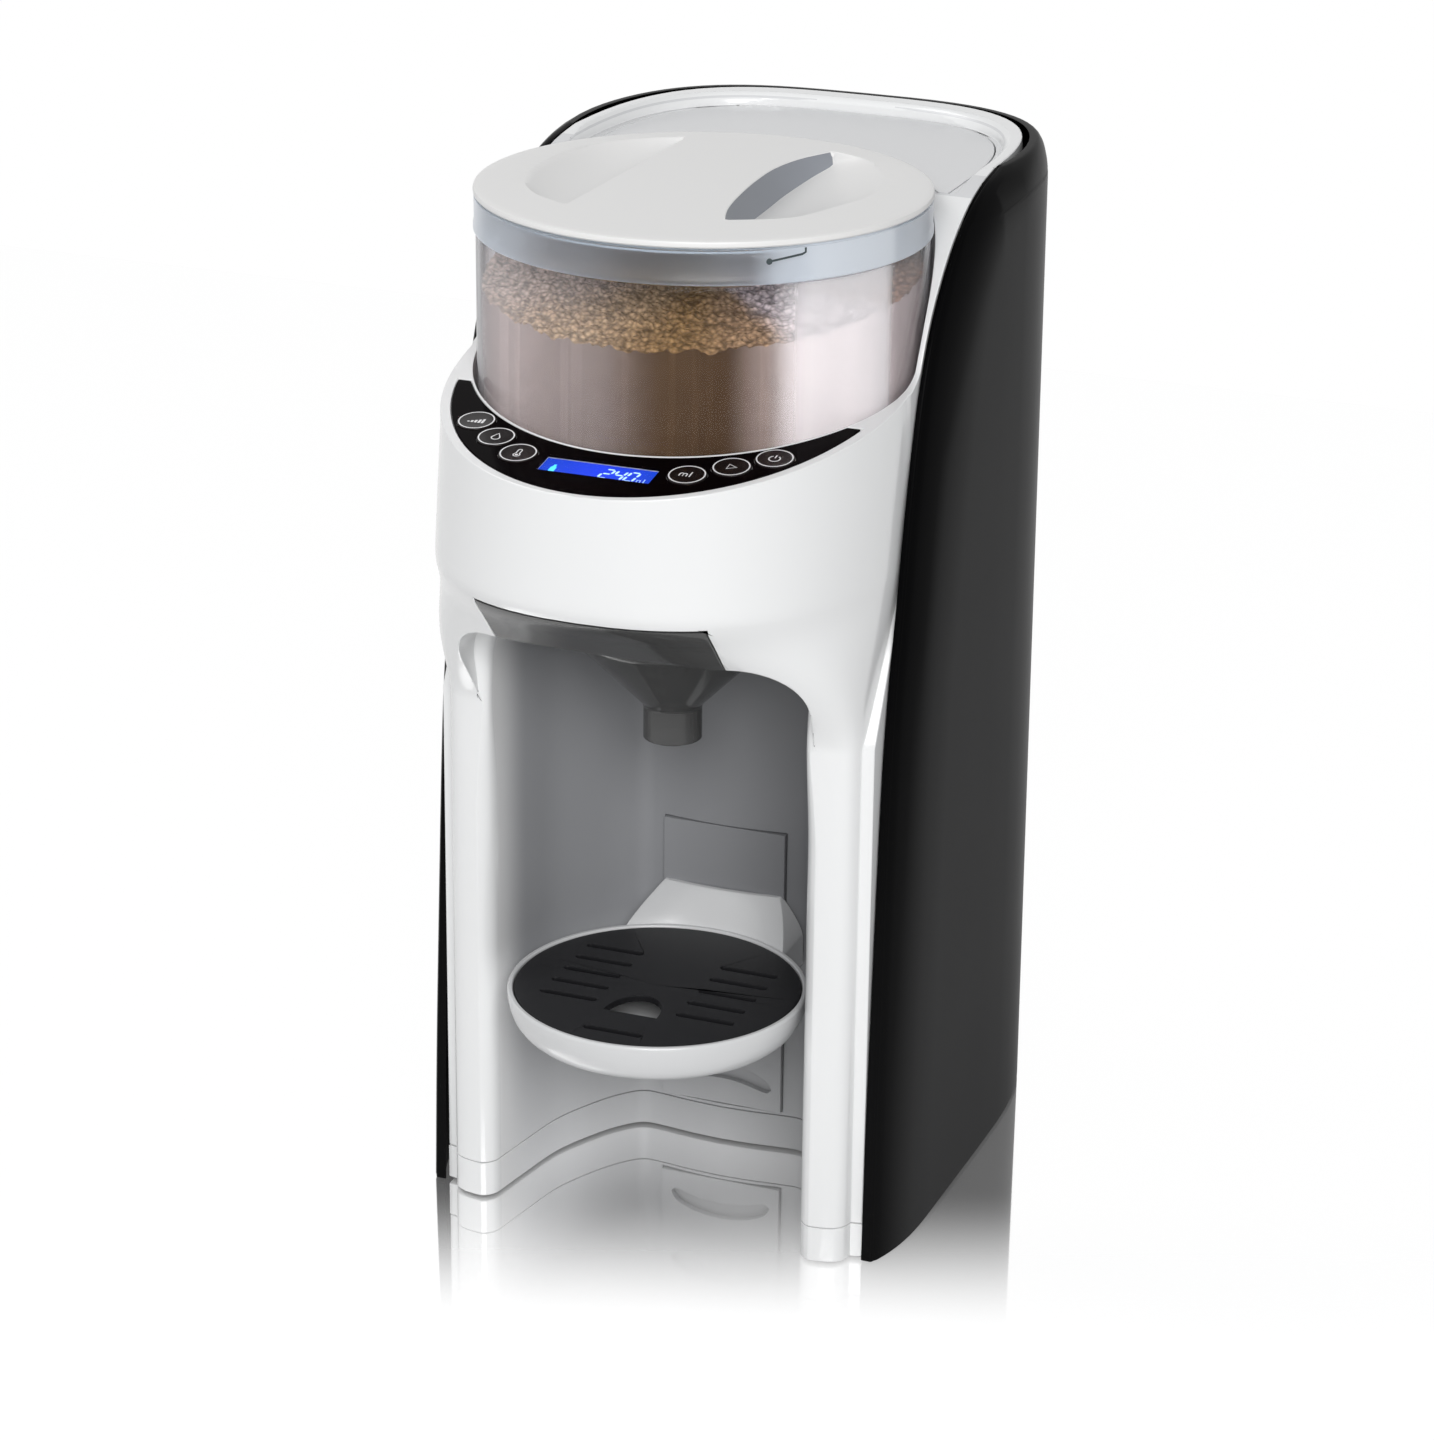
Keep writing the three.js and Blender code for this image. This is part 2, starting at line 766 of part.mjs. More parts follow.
const keys = [];
for (const side of [-1, 1]) {
  for (const [across, share] of keyShares) {
    const x = side * across * panelHalfWidth;
    keys.push({ x, y: onCrescent(x, share) });
  }
}
const keyCircle = (radius) => keys.map(({ x, y }) => circle(radius, x, alongPanel(y), 14));
const [windowBack, windowFront] = windowBandShares.map((share) => alongPanel(onCrescent(0, share)));
const windowOutline = (grow) => [
  [-windowHalfWidth - grow, windowFront - grow],
  [windowHalfWidth + grow, windowFront - grow],
  [windowHalfWidth + grow, windowBack + grow],
  [-windowHalfWidth - grow, windowBack + grow],
];

// Front housing: one white moulding with the columns, the nose, the bay, the well and the deck

const wellRadius = containerRadius + wellClearance;
const wellOuter = wellRadius + wall;
const deckFloor = deckHeight - deckRecess;
const cavityTop = deckFloor - wall;
const lowCavityFront = columnStepReach - wall;
const highCavityFront = tankFrontCut - overrun;

function cavity() {
  const inner = (frontY, z0, z1) => {
    const outline = mirrored([
      [0, frontY],
      [columnHalfWidth - wall, frontY],
      [cheekHalfWidth - wall, Math.max(frontY, -noseCentreReach)],
      ...rearArc(cheekHalfWidth - wall - deckInset, housingRear - wall, rearSteps),
    ]);
    return solid(plate(outline, z0, z1));
  };
  const channelSide = lipHalfWidth + lipGap + wall;
  const railSide = railHalfWidth + wall;
  const low = cut(
    inner(-lowCavityFront, seamHeight - overrun, wellFloor - slabThickness),
    solid(bayCutter(wall, seamHeight - 2 * overrun, bayMouthReach + overrun)),
    solid(block(-channelSide, channelSide, -noseReach, channelRear + wall, columnTop, wellFloor)),
    solid(block(-railSide, railSide, 0, bayRearReach + tonguePocket, 0, trayHeight)),
    solid(block(-railSide, railSide, 0, bayRearReach + fit + wall, 0, railTop + wall)),
  );
  const high = cut(
    inner(highCavityFront, wellFloor - slabThickness - fit, cavityTop),
    solid(rod(wellOuter, 0, 0, wellFloor - slabThickness, deckHeight, 28)),
  );
  return low.add(high);
}

const footPlaces = [
  [-frontFootSpan, -frontFootReach],
  [frontFootSpan, -frontFootReach],
  [-rearFootSpan, rearFootReach],
  [rearFootSpan, rearFootReach],
];
const boss = { front: cheekHalfWidth - wall - bossRadius + fit, rear: rearBossSpan };
const bossPlaces = [
  [-boss.front, -frontBossReach],
  [boss.front, -frontBossReach],
  [-boss.rear, rearBossReach],
  [boss.rear, rearBossReach],
];

const railSlotMiddles = Array.from(
  { length: railSlotRows },
  (_, i) => trayHeight - collarHeight / 2 - i * railSlotPitch,
);
const railFace = bayRearReach - railThickness;

// Opening for the funnel's front lip: a band of the nose as deep as the lip and its gap
function lipOpening() {
  const half = lipHalfWidth + lipGap;
  const band = block(
    -half,
    half,
    -2 * noseReach,
    channelRear,
    bayCeiling - wall,
    noseBottom + lipGap,
  );
  const inner = solid(housingBlank).translate(0, lipThickness + lipGap, 0);
  return solid(band).subtract(inner);
}

function arch(halfWidth, height, droop, y0, y1, z) {
  const steps = 8;
  const top = [];
  for (let i = 0; i <= steps; i += 1) {
    const across = (2 * i) / steps - 1;
    top.push([across * halfWidth, z + height / 2 - droop * across * across]);
  }
  const bottom = top.map(([x, edge]) => [x, edge - height]);
  const outline = [...bottom, ...top.reverse()];
  const shape = new THREE.Shape(outline.map(([x, edge]) => new THREE.Vector2(x, edge)));
  const geometry = new THREE.ExtrudeGeometry(shape, { depth: y1 - y0, bevelEnabled: false });
  return geometry.rotateX(Math.PI / 2).translate(0, y1, 0);
}

function frontHousing() {
  const channelFloor = flangeBottom - fit;
  const channelHalf = lipHalfWidth + lipGap;
  const bowlPass = channelHalf - ledge;
  const noseCavity = cut(
    solid(plate(crescent(-boardInset + fit, false), noseFloor, deckHeight)),
    solid(
      onPanel(
        block(
          -shellHalfWidth,
          shellHalfWidth,
          -noseReach,
          noseReach,
          -panelThickness - panelSkin,
          deckHeight,
        ),
      ),
    ),
  );
  const recess = loft([
    { outline: rearOutline(recessHalfWidth, recessRear), z: deckFloor },
    {
      outline: rearOutline(recessHalfWidth + recessSlope, recessRear + recessSlope),
      z: deckHeight + fit,
    },
  ]);
  const keyWells = keyCircle(buttonStemRadius + fit);
  let body = cut(
    solid(housingBlank),
    solid(topCutter()),
    cavity(),
    solid(bayCutter(0, -overrun, 2 * noseReach)),
    solid(jambCutter(1)),
    solid(jambCutter(-1)),
    solid(rod(wellRadius, 0, 0, wellFloor, 2 * deckHeight, 40)),
    solid(block(-channelHalf, channelHalf, -2 * noseReach, channelRear, channelFloor, channelTop)),
    solid(block(-bowlPass, bowlPass, -2 * noseReach, channelRear, bayCeiling - wall, channelTop)),
    lipOpening(),
    solid(rod(outletRadius + fit, 0, -outletReach, channelTop - overrun, wellFloor + overrun)),
    solid(
      rodAlongY(
        nozzleRadius + fit,
        0,
        channelTop - nozzleRadius - fit,
        channelRear - overrun,
        bayRearReach + overrun,
      ),
    ),
    solid(
      rod(
        sealRadius + fit,
        0,
        pinionReach,
        wellFloor - slabThickness - overrun,
        wellFloor + overrun,
      ),
    ),
    noseCavity,
    solid(onPanel(plate(crescent(fit), -panelThickness - fit, overrun))),
    solid(recess),
    tankPlan(tankLidOverlap + tankLidGap, cavityTop - overrun, deckHeight),
    solid(
      block(
        -railHalfWidth - fit,
        railHalfWidth + fit,
        0,
        bayRearReach + fit,
        railBottom - fit,
        railTop + fit,
      ),
    ),
  );
  const skinBottom = -panelThickness - panelSkin - overrun;
  for (const opening of [...keyWells, windowOutline(fit)]) {
    body = body.subtract(solid(onPanel(plate(opening, skinBottom, overrun))));
  }
  for (const z of railSlotMiddles) {
    body = body.subtract(
      solid(
        arch(
          railSlotHalfWidth,
          railSlotHeight,
          railSlotDroop,
          railFace,
          bayRearReach + tonguePocket - wall,
          z,
        ),
      ),
    );
  }
  for (const [x, y] of bossPlaces) {
    body = body.add(solid(rod(bossRadius, x, y, seamHeight, seamHeight + bossHeight, 10)));
    const boreTop = seamHeight + bossHeight - wall;
    body = body.subtract(solid(rod(bossBore, x, y, 0, boreTop, 8)));
  }
  return body.subtract(solid(glandOpening()));
}

function rearOutline(halfWidth, reach) {
  return mirrored([
    [0, -noseReach],
    [halfWidth, -noseReach],
    ...rearArc(halfWidth, reach, rearSteps),
  ]);
}

const glandOpening = () =>
  rodAlongY(glandRadius + fit, 0, glandHeight, housingRear - 2 * overrun, rearReach + overrun);

// Outer shell: one black wrap from the right front edge round the back to the left front edge

function shellOutline(edgeY, z) {
  const rise = z / deckHeight;
  const curvedIn = crownShare(z);
  const widest = shellHalfWidth - shellTaper * rise - crownInset * curvedIn;
  const innerEdge = cheekAt(z) + fit;
  const outerEdge = Math.min(innerEdge + mix(shellFootEdge, shellTopEdge, rise), widest);
  const rear = rearReach - crownRearInset * curvedIn;
  const flareSteps = 4;
  const side = (edge, halfWidth, reach) => {
    const points = [];
    for (let i = 0; i < flareSteps; i += 1) {
      const along = (i / flareSteps) ** 1.5;
      const left = 1 - along;
      const end = Math.min(edgeY + shellFlare, shellWidestBehindAxis);
      points.push([halfWidth - (halfWidth - edge) * left ** 3, mix(edgeY, end, along)]);
    }
    return [...points, ...rearArc(halfWidth, reach, rearSteps)];
  };
  const outer = side(outerEdge, widest, rear);
  const inner = side(innerEdge, Math.max(innerEdge, widest - shellWall), rear - shellWall);
  const whole = mirrored(outer);
  const hollow = mirrored(inner).reverse();
  // Both halves run on from the right front edge; the hollow side returns from the left one
  return [...whole, ...hollow];
}

function rearShell() {
  const rings = edgePoints
    .filter((p) => p.y <= deckHeight)
    .map((p) => ({ outline: shellOutline(p.x, Math.max(p.y, tableClearance)), z: p.y }));
  rings[0].z = tableClearance;
  return solid(loft(rings)).subtract(solid(glandOpening()));
}

// Base: a shallow tray under the housing, with pads, screws and the same bay cut into it

function basePlate() {
  const top = seamHeight - fit;
  const outline = housingOutline(seamHeight);
  const innerOutline = mirrored([
    [0, -lowCavityFront],
    [columnHalfWidth - wall, -lowCavityFront],
    [cheekHalfWidth - wall, -noseCentreReach],
    ...rearArc(cheekHalfWidth - wall, housingRear - wall, rearSteps),
  ]);
  const floorTop = tableClearance + baseFloorThickness;
  let body = cut(
    solid(plate(outline, tableClearance, top)),
    cut(
      solid(plate(innerOutline, floorTop, top + overrun)),
      solid(bayCutter(wall, -overrun, bayMouthReach + overrun)),
    ),
    solid(bayCutter(0, -overrun, 2 * noseReach)),
    solid(jambCutter(1)),
    solid(jambCutter(-1)),
  );
  for (const [x, y] of footPlaces) {
    body = body.subtract(
      solid(rod(footRadius + fit, x, y, -overrun, tableClearance + footSink + fit, 14)),
    );
  }
  for (const [x, y] of bossPlaces) {
    body = body
      .add(solid(rod(bossRadius, x, y, tableClearance, top, 10)))
      .subtract(solid(rod(screwRadius + fit, x, y, -overrun, top + overrun, 8)))
      .subtract(
        solid(rod(screwHeadRadius + fit, x, y, -overrun, tableClearance + screwHeadHeight + 2 * fit, 10)),
      );
  }
  return body;
}

// Rail panel: the strip of the bay's rear wall that the tray hooks into

function railPanel() {
  const rear = bayRearReach;
  const edge = railFace + railBulge;
  const outline = [
    [-railHalfWidth, rear],
    [-railHalfWidth, edge],
    [-railHalfWidth / 2, railFace + railBulge / 4],
    [0, railFace],
    [railHalfWidth / 2, railFace + railBulge / 4],
    [railHalfWidth, edge],
    [railHalfWidth, rear],
  ];
  const body = solid(plate(outline, railBottom, railTop));
  const slots = railSlotMiddles.map((z) =>
    solid(
      arch(railSlotHalfWidth, railSlotHeight, railSlotDroop, railFace - wall, rear + wall, z),
    ),
  );
  return cut(body, ...slots);
}

// Control panel with its keys, display and board

const panelPlate = () => {
  const holes = [...keyCircle(buttonRadius + buttonGap), windowOutline(0)];
  return solid(onPanel(plate(crescent(0), -panelThickness, 0, holes)));
};

function keyCap(key) {
  const y = alongPanel(key.y);
  const profile = [
    [0, -buttonSink - buttonStemLength],
    [buttonStemRadius, -buttonSink - buttonStemLength],
    [buttonStemRadius, -buttonSink],
    [buttonRadius, -buttonSink],
    [buttonRadius, buttonProud - buttonEdge],
    [buttonRadius - buttonEdge, buttonProud],
    [0, buttonProud],
  ];
  return solid(onPanel(revolve(profile, key.x, y, 14)));
}

const displayBottom = -panelThickness - fit - displayThickness;
const boardTop = -buttonSink - buttonStemLength - switchHeight - buttonTravel - fit;

function controlBoard() {
  let body = solid(
    onPanel(plate(crescent(-boardInset - boardMargin), boardTop - boardThickness, boardTop)),
  );
  for (const key of keys) {
    const y = alongPanel(key.y);
    const nub = block(
      key.x - switchHalfWidth,
      key.x + switchHalfWidth,
      y - switchHalfWidth,
      y + switchHalfWidth,
      boardTop - boardThickness / 2,
      boardTop + switchHeight,
    );
    body = body.add(solid(onPanel(nub)));
  }
  for (const side of [-1, 1]) {
    const peg = rod(
      pegRadius,
      side * pegSpan,
      alongPanel(onCrescent(0, pegBandShare)),
      boardTop - boardThickness / 2,
      -panelThickness - panelSkin - fit,
      12,
    );
    body = body.add(solid(onPanel(peg)));
  }
  return body;
}

// Container, what turns in its base, the powder and the lid

const baseBottom = wellFloor + fit;
const wheelBottom = baseBottom + baseFloor + wheelLift;
const wheelTop = wheelBottom + wheelThickness;
const containerBottom = baseBottom + baseRimHeight + fit;
const containerFloorTop = containerBottom + containerFloorThickness;
const stirrerBottom = containerFloorTop + stirrerLift;
const lidUnderside = lidHeight - lidDisc;
const sealBottom = lidUnderside - fit - sealHeight;
const neckTop = sealBottom - fit;
const neckRadius = lidRadius - lidSkirtWall - fit;
const neckBottom = lidHeight - lidSkirtDrop - fit;
const innerRadius = containerRadius - containerWall;
const neckInner = neckRadius - containerWall;

function gear(teeth, turned) {
  const pitch = (gearModule * teeth) / 2;
  const root = pitch - toothRoot * gearModule;
  const tip = pitch + toothTip * gearModule;
  const points = [];
  for (let i = 0; i < teeth; i += 1) {
    const middle = ((i + turned) / teeth) * 2 * Math.PI;
    for (const [radius, share] of [
      [root, -toothFootShare],
      [tip, -toothTipShare],
      [tip, toothTipShare],
      [root, toothFootShare],
    ]) {
      const turn = middle + (share / teeth) * 2 * Math.PI;
      points.push([radius * Math.cos(turn), radius * Math.sin(turn)]);
    }
  }
  return points;
}

function sector(inner, outer, from, to, steps = 12) {
  const arc = (radius, a, b) =>
    Array.from({ length: steps + 1 }, (_, i) => {
      const turn = THREE.MathUtils.degToRad(mix(a, b, i / steps));
      return [radius * Math.cos(turn), radius * Math.sin(turn)];
    });
  return [...arc(outer, from, to), ...arc(inner, to, from)];
}

function portionWheel() {
  const pockets = Array.from({ length: pocketCount }, (_, i) => {
    const turn = (i / pocketCount) * 2 * Math.PI;
    const [x, y] = [outletReach * Math.cos(turn), outletReach * Math.sin(turn)];
    return circle(pocketRadius, x, y, 12);
  });
  const bore = circle(hubPinRadius + fit, 0, 0, 12);
  const disc = plate(gear(wheelTeeth, 0), wheelBottom, wheelTop, [...pockets, bore]);
  const top = wheelTop + hubBossHeight;
  const hub = plate(circle(hubBossRadius, 0, 0, 16), wheelTop - overrun / 2, top, [bore]);
  return solid(disc).add(solid(hub));
}

function containerBase() {
  const outer = containerRadius - baseInset;
  const top = baseBottom + baseRimHeight;
  const dish = revolve(
    [
      [0, baseBottom],
      [outer, baseBottom],
      [outer, top],
      [outer - baseRimWall, top],
      [outer - baseRimWall, baseBottom + baseFloor],
      [hubPinRadius, baseBottom + baseFloor],
      [hubPinRadius, wheelTop + hubBossHeight - wall],
      [0, wheelTop + hubBossHeight - wall],
    ],
    0,
    0,
    40,
  );
  const tip = (pinionTeeth / 2 + toothTip) * gearModule;
  const window = rod(tip + pinionWindowGap, 0, pinionReach, 0, baseBottom + 2 * baseFloor, 32);
  const outlet = rod(outletRadius, 0, -outletReach, 0, baseBottom + 2 * baseFloor);
  return cut(solid(dish), solid(window), solid(outlet));
}

function powderContainer() {
  const shell = revolve(
    [
      [hubBossRadius + fit, containerBottom],
      [containerRadius, containerBottom],
      [containerRadius, neckBottom],
      [neckRadius, neckBottom],
      [neckRadius, neckTop],
      [neckInner, neckTop],
      [neckInner, neckBottom],
      [innerRadius, neckBottom - containerWall],
      [innerRadius, containerFloorTop],
      [hubBossRadius + fit, containerFloorTop],
      [hubBossRadius + fit, containerBottom],
    ],
    0,
    0,
    40,
  );
  const half = inletSpanDegrees / 2;
  const [from, to] = [inletMiddleDegrees - half, inletMiddleDegrees + half];
  const inlet = sector(inletInnerRadius, inletOuterRadius, from, to);
  return solid(shell).subtract(
    solid(plate(inlet, containerBottom - overrun, containerFloorTop + overrun)),
  );
}

function stirringWheel() {
  const top = stirrerBottom + stirrerThickness;
  let body = solid(plate(circle(stirrerHubRadius, 0, 0, 28), stirrerBottom, top));
  for (let i = 0; i < stirrerArmCount / 2; i += 1) {
    const arm = block(
      -stirrerReach,
      stirrerReach,
      -stirrerArmWidth / 2,
      stirrerArmWidth / 2,
      stirrerBottom,
      top,
    );
    const turn = ((i + 0.5) / stirrerArmCount) * 2 * Math.PI;
    body = body.add(solid(arm.rotateZ(turn)));
  }
  const bore = rod(hubBossRadius + fit, 0, 0, 0, 2 * top, 28);
  return body.subtract(solid(bore));
}

function formulaPowder() {
  const bottom = stirrerBottom + stirrerThickness + powderClearance;
  const fill = rod(innerRadius - fit, 0, 0, bottom, deckHeight, 40);
  const reach = 2 * lidRadius;
  const above = block(-reach, reach, -reach, reach, 0, reach)
    .rotateX(Math.atan(powderSlope))
    .translate(0, 0, powderMiddleHeight);
  return solid(fill).subtract(solid(above));
}

const ring = (outer, inner, z0, z1, sides = 40) =>
  solid(
    revolve(
      [
        [inner, z0],
        [outer, z0],
        [outer, z1],
        [inner, z1],
        [inner, z0],
      ],
      0,
      0,
      sides,
    ),
  );

// The two finger wells either side of the lid's grip: a D on the left and a lens on the right
function fingerWells(grow) {
  const steps = 12;
  const radius = fingerWellShare * lidRadius + grow;
  const arc = (cx, cy, chord) => {
    const half = Math.acos((chord - cx) / radius);
    return Array.from({ length: steps + 1 }, (_, i) => {
      const turn = half * ((2 * i) / steps - 1);
      return [cx + radius * Math.cos(turn), cy + radius * Math.sin(turn)];
    });
  };
  const leftChord = gripLeftShare * lidRadius - grow;
  const left = arc(leftWellShift, -fingerWellOffset, leftChord).map(([x, y]) => [-x, -y]);
  const rightArc = arc(rightWellShift, fingerWellOffset, gripRightShare * lidRadius - grow);
  const tip = rightArc[steps];
  const halfLength = tip[1] - fingerWellOffset;
  const inner = Array.from({ length: steps / 2 - 1 }, (_, i) => {
    const along = 1 - (4 * (i + 1)) / steps;
    const bulge = fingerWellInnerBulge * (1 - along * along);
    return [tip[0] - bulge, fingerWellOffset + halfLength * along];
  });
  return [left, [...rightArc, ...inner]];
}

function containerLid() {
  const skirtBottom = lidHeight - lidSkirtDrop;
  let body = solid(
    revolve(
      [
        [0, lidUnderside],
        [lidRadius - lidSkirtWall, lidUnderside],
        [lidRadius - lidSkirtWall, skirtBottom],
        [lidRadius, skirtBottom],
        [lidRadius, lidHeight - lidRounding],
        [lidRadius - lidRounding, lidHeight],
        [0, lidHeight],
      ],
      0,
      0,
      40,
    ),
  );
  const cupBottom = lidHeight - wellDepth;
  const cups = fingerWells(lidSkirtWall);
  const wells = fingerWells(0);
  for (const cup of cups) {
    body = body.add(solid(plate(cup, cupBottom - lidSkirtWall, lidUnderside + fit)));
  }
  for (const well of wells) {
    body = body.subtract(solid(plate(well, cupBottom, lidHeight + overrun)));
  }
  return body;
}

// Drive: pinion and shaft, seal, gearbox, motor

function drivePinion() {
  const wheel = plate(gear(pinionTeeth, 0), wheelBottom, wheelTop);
  const shaftBottom = wellFloor - slabThickness - gearboxHeight / 2;
  const shaft = rod(shaftRadius, 0, 0, shaftBottom, wheelTop - wall, 20);
  const turned = solid(wheel).add(solid(shaft));
  return turned.translate(0, pinionReach, 0);
}

const gearboxTop = wellFloor - slabThickness - fit;

function gearbox() {
  const body = block(
    -gearboxHalfWidth,
    gearboxHalfWidth,
    gearboxFrontReach,
    gearboxRearReach,
    gearboxTop - gearboxHeight,
    gearboxTop,
  );
  const bore = rod(
    shaftRadius + fit,
    0,
    pinionReach,
    gearboxTop - gearboxHeight / 2 - wall,
    gearboxTop + wall,
  );
  return cut(solid(body), solid(bore));
}

// Funnel drawer, its cover and the water pipe above it

function mixingFunnel() {
  const x = lipHalfWidth - fit;
  const rear = channelRear - fit;
  const sheet = solid(block(-x, x, -2 * noseReach, rear, flangeBottom, bowlTop));
  const lipBand = block(-lipHalfWidth, lipHalfWidth, -2 * noseReach, 0, bayCeiling, noseBottom);
  const skin = solid(housingBlank).subtract(solid(housingBlank).translate(0, lipThickness, 0));
  const lip = skin.intersect(solid(lipBand));
  const inner = bowlRadius - funnelWall;
  const profile = [
    [spoutRadius - funnelWall, spoutBottom],
    [spoutRadius, spoutBottom],
    [spoutRadius, coneBottom],
    [bowlRadius, bowlFoot],
    [bowlRadius, bowlTop - flangeThickness / 2],
    [inner, bowlTop - flangeThickness / 2],
    [inner, bowlFoot + funnelWall / 2],
    [spoutRadius - funnelWall, coneBottom + funnelWall / 2],
    [spoutRadius - funnelWall, spoutBottom],
  ];
  const bowl = solid(revolve(profile, 0, -funnelAxisReach, 28));
  const mouth = rod(inner, 0, -funnelAxisReach, flangeBottom - overrun, bowlTop + overrun, 28);
  return sheet.intersect(solid(housingBlank)).subtract(solid(mouth)).add(bowl).add(lip);
}

function funnelCover() {
  const bottom = bowlTop + fit;
  const outline = [
    [-coverHalfWidth, -coverFrontReach],
    [coverHalfWidth, -coverFrontReach],
    [coverHalfWidth, channelRear - 2 * fit],
    [-coverHalfWidth, channelRear - 2 * fit],
  ];
  const top = plate(outline, bottom, bottom + coverThickness, [
    circle(coverHoleRadius, 0, -outletReach, 20),
  ]);
  const skirtOuter = bowlRadius - funnelWall - fit;
  const skirt = ring(
    skirtOuter,
    skirtOuter - coverThickness,
    bottom - coverSkirt,
    bottom + coverThickness / 2,
    24,
  );
  return solid(top).add(skirt.translate(0, -funnelAxisReach, 0));
}

const tube = (points, radius, bore, steps, sides = 12) => {
  const shape = new THREE.Shape(circle(radius, 0, 0, sides).map(([x, y]) => new THREE.Vector2(x, y)));
  const hole = circle(bore, 0, 0, sides).map(([x, y]) => new THREE.Vector2(x, y));
  shape.holes.push(new THREE.Path(hole));
  const path = new THREE.CatmullRomCurve3(points.map(([x, y, z]) => new THREE.Vector3(x, y, z)));
  return solid(new THREE.ExtrudeGeometry(shape, { steps, bevelEnabled: false, extrudePath: path }));
};

const nozzleHeight = channelTop - nozzleRadius - fit;

function waterNozzle() {
  const bend = 2 * nozzleRadius;
  const points = [
    [0, nozzleRiserReach, nozzleRiserBottom],
    [0, nozzleRiserReach, nozzleHeight - 4 * bend],
    [0, nozzleRiserReach, nozzleHeight - 2 * bend],
    [0, nozzleRiserReach - bend / 2, nozzleHeight - bend / 2],
    [0, nozzleRiserReach - 2 * bend, nozzleHeight],
    [0, channelRear, nozzleHeight],
    [0, -nozzleTipReach, nozzleHeight],
  ];
  return tube(points, nozzleRadius, nozzleBore, 12, 6);
}

// Drip tray with the collar that hooks it into the rail panel, and its grid

function collarRing(z, share) {
  const steps = 8;
  const halfWidth = mix(collarHalfWidth, collarTopHalfWidth, share);
  const front = [];
  const rear = [];
  for (let i = 0; i <= steps; i += 1) {
    const x = halfWidth * ((2 * i) / steps - 1);
    const onRim = -trayAxisReach + Math.sqrt(trayRadius * trayRadius - x * x) - trayWall / 2;
    const behind = wallBehind(Math.abs(x)) - collarGap;
    front.push([x, mix(onRim, behind - trayWall, share)]);
    rear.push([x, behind]);
  }
  return { outline: [...front, ...rear.reverse()], z };
}

// Rear wall of the bay at a distance to one side
function wallBehind(x) {
  const depth = bayMouthReach + bayRearReach;
  const wallPoints = bayPlanShares.map(([across, back]) => [
    bayHalfWidth * across,
    -bayMouthReach + depth * back,
  ]);
  for (let i = 0; i + 1 < wallPoints.length; i += 1) {
    const [[x0, y0], [x1, y1]] = [wallPoints[i], wallPoints[i + 1]];
    if (x <= x0 && x >= x1) return mix(y1, y0, (x - x1) / (x0 - x1));
  }
  return -bayMouthReach;
}

function dripTray() {
  const bottom = trayHeight - trayDepth;
  const gridSeat = trayHeight - gridRecess - gridThickness - fit;
  const seatRadius = gridRadius + fit;
  const bowl = revolve(
    [
      [0, bottom],
      [trayFootRadius - trayWall, bottom],
      [trayFootRadius, bottom + trayWall / 2],
      [trayRadius - trayWall / 2, trayHeight - trayDepth / 2],
      [trayRadius, trayHeight - trayWall / 2],
      [trayRadius - trayWall / 4, trayHeight],
      [seatRadius, trayHeight],
      [seatRadius, gridSeat],
      [seatRadius - gridLedge, gridSeat],
      [trayFootRadius - trayWall, bottom + trayWall],
      [0, bottom + trayWall],
    ],
    0,
    -trayAxisReach,
    36,
  );
  const collar = loft([
    collarRing(bottom + trayWall, 0),
    collarRing(trayHeight - trayWall, 0),
    collarRing(trayHeight + collarHeight * 0.45, 0.45),
    collarRing(trayHeight + collarHeight, 1),
  ]);
  const inside = rod(
    trayFootRadius - trayWall,
    0,
    -trayAxisReach,
    bottom + trayWall,
    trayHeight + 2 * collarHeight,
    36,
  );
  const recess = rod(seatRadius, 0, -trayAxisReach, gridSeat, trayHeight + 2 * collarHeight, 36);
  const tongue = arch(
    tongueHalfWidth,
    tongueThickness,
    railSlotDroop * (tongueHalfWidth / railSlotHalfWidth) ** 2,
    railFace - collarGap - wall,
    railFace + tongueLength,
    railSlotMiddles[0],
  );
  const rest = cut(solid(collar), solid(inside), solid(recess));
  return joined(solid(bowl), rest, solid(tongue));
}

function capsule(x, y, length, width) {
  const r = width / 2;
  const half = length / 2 - r;
  const end = (side) =>
    Array.from({ length: 4 }, (_, i) => {
      const turn = (i / 3 - 0.5) * Math.PI;
      return [x + side * (half + r * Math.cos(turn)), y + side * r * Math.sin(turn)];
    });
  return [...end(1), ...end(-1)];
}

function dripGrid() {
  const top = trayHeight - gridRecess;
  const holes = [capsule(0, -frontSlotReach, slotLength, slotWidth)];
  for (let row = 0; row < slotRows; row += 1) {
    const y = -slotMiddleReach + (row - (slotRows - 1) / 2) * slotPitch;
    for (const side of [-1, 1]) {
      holes.push(capsule(side * slotColumnOffset, y, slotLength, slotWidth));
    }
  }
  const steps = 10;
  holes.push(
    Array.from({ length: steps + 1 }, (_, i) => {
      const turn = (i / steps) * Math.PI;
      return [
        fingerHoleRadius * Math.cos(turn),
        -fingerHoleFront + fingerHoleDepth * Math.sin(turn),
      ];
    }),
  );
  const bottom = top - gridThickness;
  const rim = circle(gridRadius, 0, -trayAxisReach, 36);
  const openings = holes.map((hole) => solid(plate(hole, bottom - overrun, top + overrun)));
  return cut(solid(plate(rim, bottom, top)), ...openings);
}

// Water tank with its lid, outlet valve and seat

const tankTop = deckFloor - tankLidThickness - fit;

